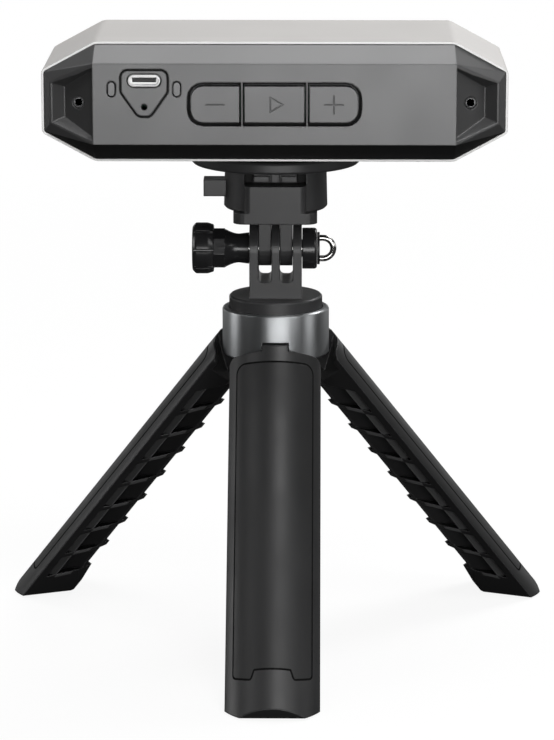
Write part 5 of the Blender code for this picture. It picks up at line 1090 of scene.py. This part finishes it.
# %% Floor
WHITE = (1.0, 1.0, 1.0, 1.0)
floor_half = 4.0
floor_points = np.array([(x, y, 0.0) for y in (-floor_half, floor_half) for x in (-floor_half, floor_half)])
floor_mesh = made_mesh("floor", floor_points, [(0, 1, 3, 2)])
floor = bpy.data.objects.new("floor", floor_mesh)
bpy.context.scene.collection.objects.link(floor)
floor.location.z = -0.0002


def seen_directly(tree):
    """One for camera rays and for rays through glass, zero for the rest; also the mask for mirror rays."""
    path = node(tree, "ShaderNodeLightPath").outputs
    return maths(tree, "ADD", path["Is Camera Ray"], path["Is Transmission Ray"], True), path["Is Glossy Ray"]


def part_of(tree, vector, axis):
    """One coordinate of a vector."""
    return node(tree, "ShaderNodeSeparateXYZ", ((0, vector),)).outputs[axis]


def blend(tree, factor, a, b):
    """Mix Shader: a where factor is zero, b where it is one."""
    return node(tree, "ShaderNodeMixShader", ((0, factor), (1, a), (2, b))).outputs[0]


ground = bpy.data.materials.new("pale_floor")
ground.use_nodes = True
tree = ground.node_tree
tree.nodes.clear()
seen, glossy = seen_directly(tree)
dim = node(tree, "ShaderNodeBsdfDiffuse", (("Color", (0.035, 0.035, 0.035, 1.0)),)).outputs[0]
pale = node(tree, "ShaderNodeBsdfDiffuse", (("Color", (0.9, 0.9, 0.9, 1.0)),)).outputs[0]
white = node(tree, "ShaderNodeEmission", (("Color", WHITE), ("Strength", 1.0))).outputs[0]
place = node(tree, "ShaderNodeNewGeometry").outputs["Position"]
reach = node(tree, "ShaderNodeVectorMath", ((0, place),), operation="LENGTH").outputs["Value"]
shown = blend(tree, span(tree, reach, 0.25, 0.8, 0.9, 1.0), pale, white)
mirrored = maths(tree, "MULTIPLY", glossy, span(tree, part_of(tree, place, "Y"), 1.0, 2.2))
last = blend(tree, mirrored, blend(tree, seen, dim, shown), white)
node(tree, "ShaderNodeOutputMaterial", (("Surface", last),))
floor_mesh.materials.append(ground)
print("floor ready")

# %% World
world = bpy.data.worlds.new("studio")
bpy.context.scene.world = world
world.use_nodes = True
tree = world.node_tree
tree.nodes.clear()
seen, glossy = seen_directly(tree)
aim = node(tree, "ShaderNodeTexCoord").outputs["Generated"]
ahead = span(tree, part_of(tree, aim, "Y"), 0.3, 0.8)
low_down = span(tree, part_of(tree, aim, "Z"), 0.16, 0.04)
mirrored = maths(tree, "MULTIPLY", glossy, maths(tree, "MULTIPLY", ahead, low_down))
room = node(tree, "ShaderNodeBackground", (("Color", (0.86, 0.87, 0.90, 1.0)), ("Strength", 0.03))).outputs[0]
white = node(tree, "ShaderNodeBackground", (("Color", WHITE), ("Strength", 1.0))).outputs[0]
sky = blend(tree, maths(tree, "MAXIMUM", seen, mirrored), room, white)
node(tree, "ShaderNodeOutputWorld", (("Surface", sky),))
print("world ready")

# %% [markdown]
# Eight soft boxes stand on a sphere round the object. Two from above light the pale top face, a broad low one
# in front lights the keys and the mount, and weak ones at the sides draw the edges of the black parts.

# %% Soft boxes
lamp_distance, aim_height = 1.1, 0.09
lamps = (("key", 24, 60, (0.3, 0.3), 3.2), ("top", 180, 82, (0.6, 0.6), 6.5),
         ("back_right", 140, 45, (0.4, 0.5), 5.9), ("left_low", -100, 10, (0.4, 0.35), 1.5),
         ("front", 7, 3, (0.85, 0.3), 5.7), ("side", 45, 34, (0.3, 0.4), 1.7),
         ("left_high", -72, 45, (0.4, 0.5), 1.4), ("right_low", 78, 11, (0.4, 0.4), 1.2))


def soft_box(name, azimuth, elevation, size, power):
    """Area lamp; azimuth 0 is the camera's side, positive to the right. Size in metres, power in watts."""
    turn, rise = math.radians(azimuth), math.radians(elevation)
    direction = Vector((math.sin(turn) * math.cos(rise), -math.cos(turn) * math.cos(rise), math.sin(rise)))
    data = bpy.data.lights.new(name, "AREA")
    data.shape = "RECTANGLE"
    data.size, data.size_y = size
    data.energy = power
    lamp = bpy.data.objects.new(name, data)
    bpy.context.scene.collection.objects.link(lamp)
    lamp.location = Vector((0, axis_y, aim_height)) + direction * lamp_distance
    lamp.rotation_euler = direction.to_track_quat("Z", "Y").to_euler()
    lamp.visible_camera = False


for row in lamps:
    soft_box(*row)
bpy.context.scene.view_settings.view_transform = "Standard"
print(len(lamps), "soft boxes")
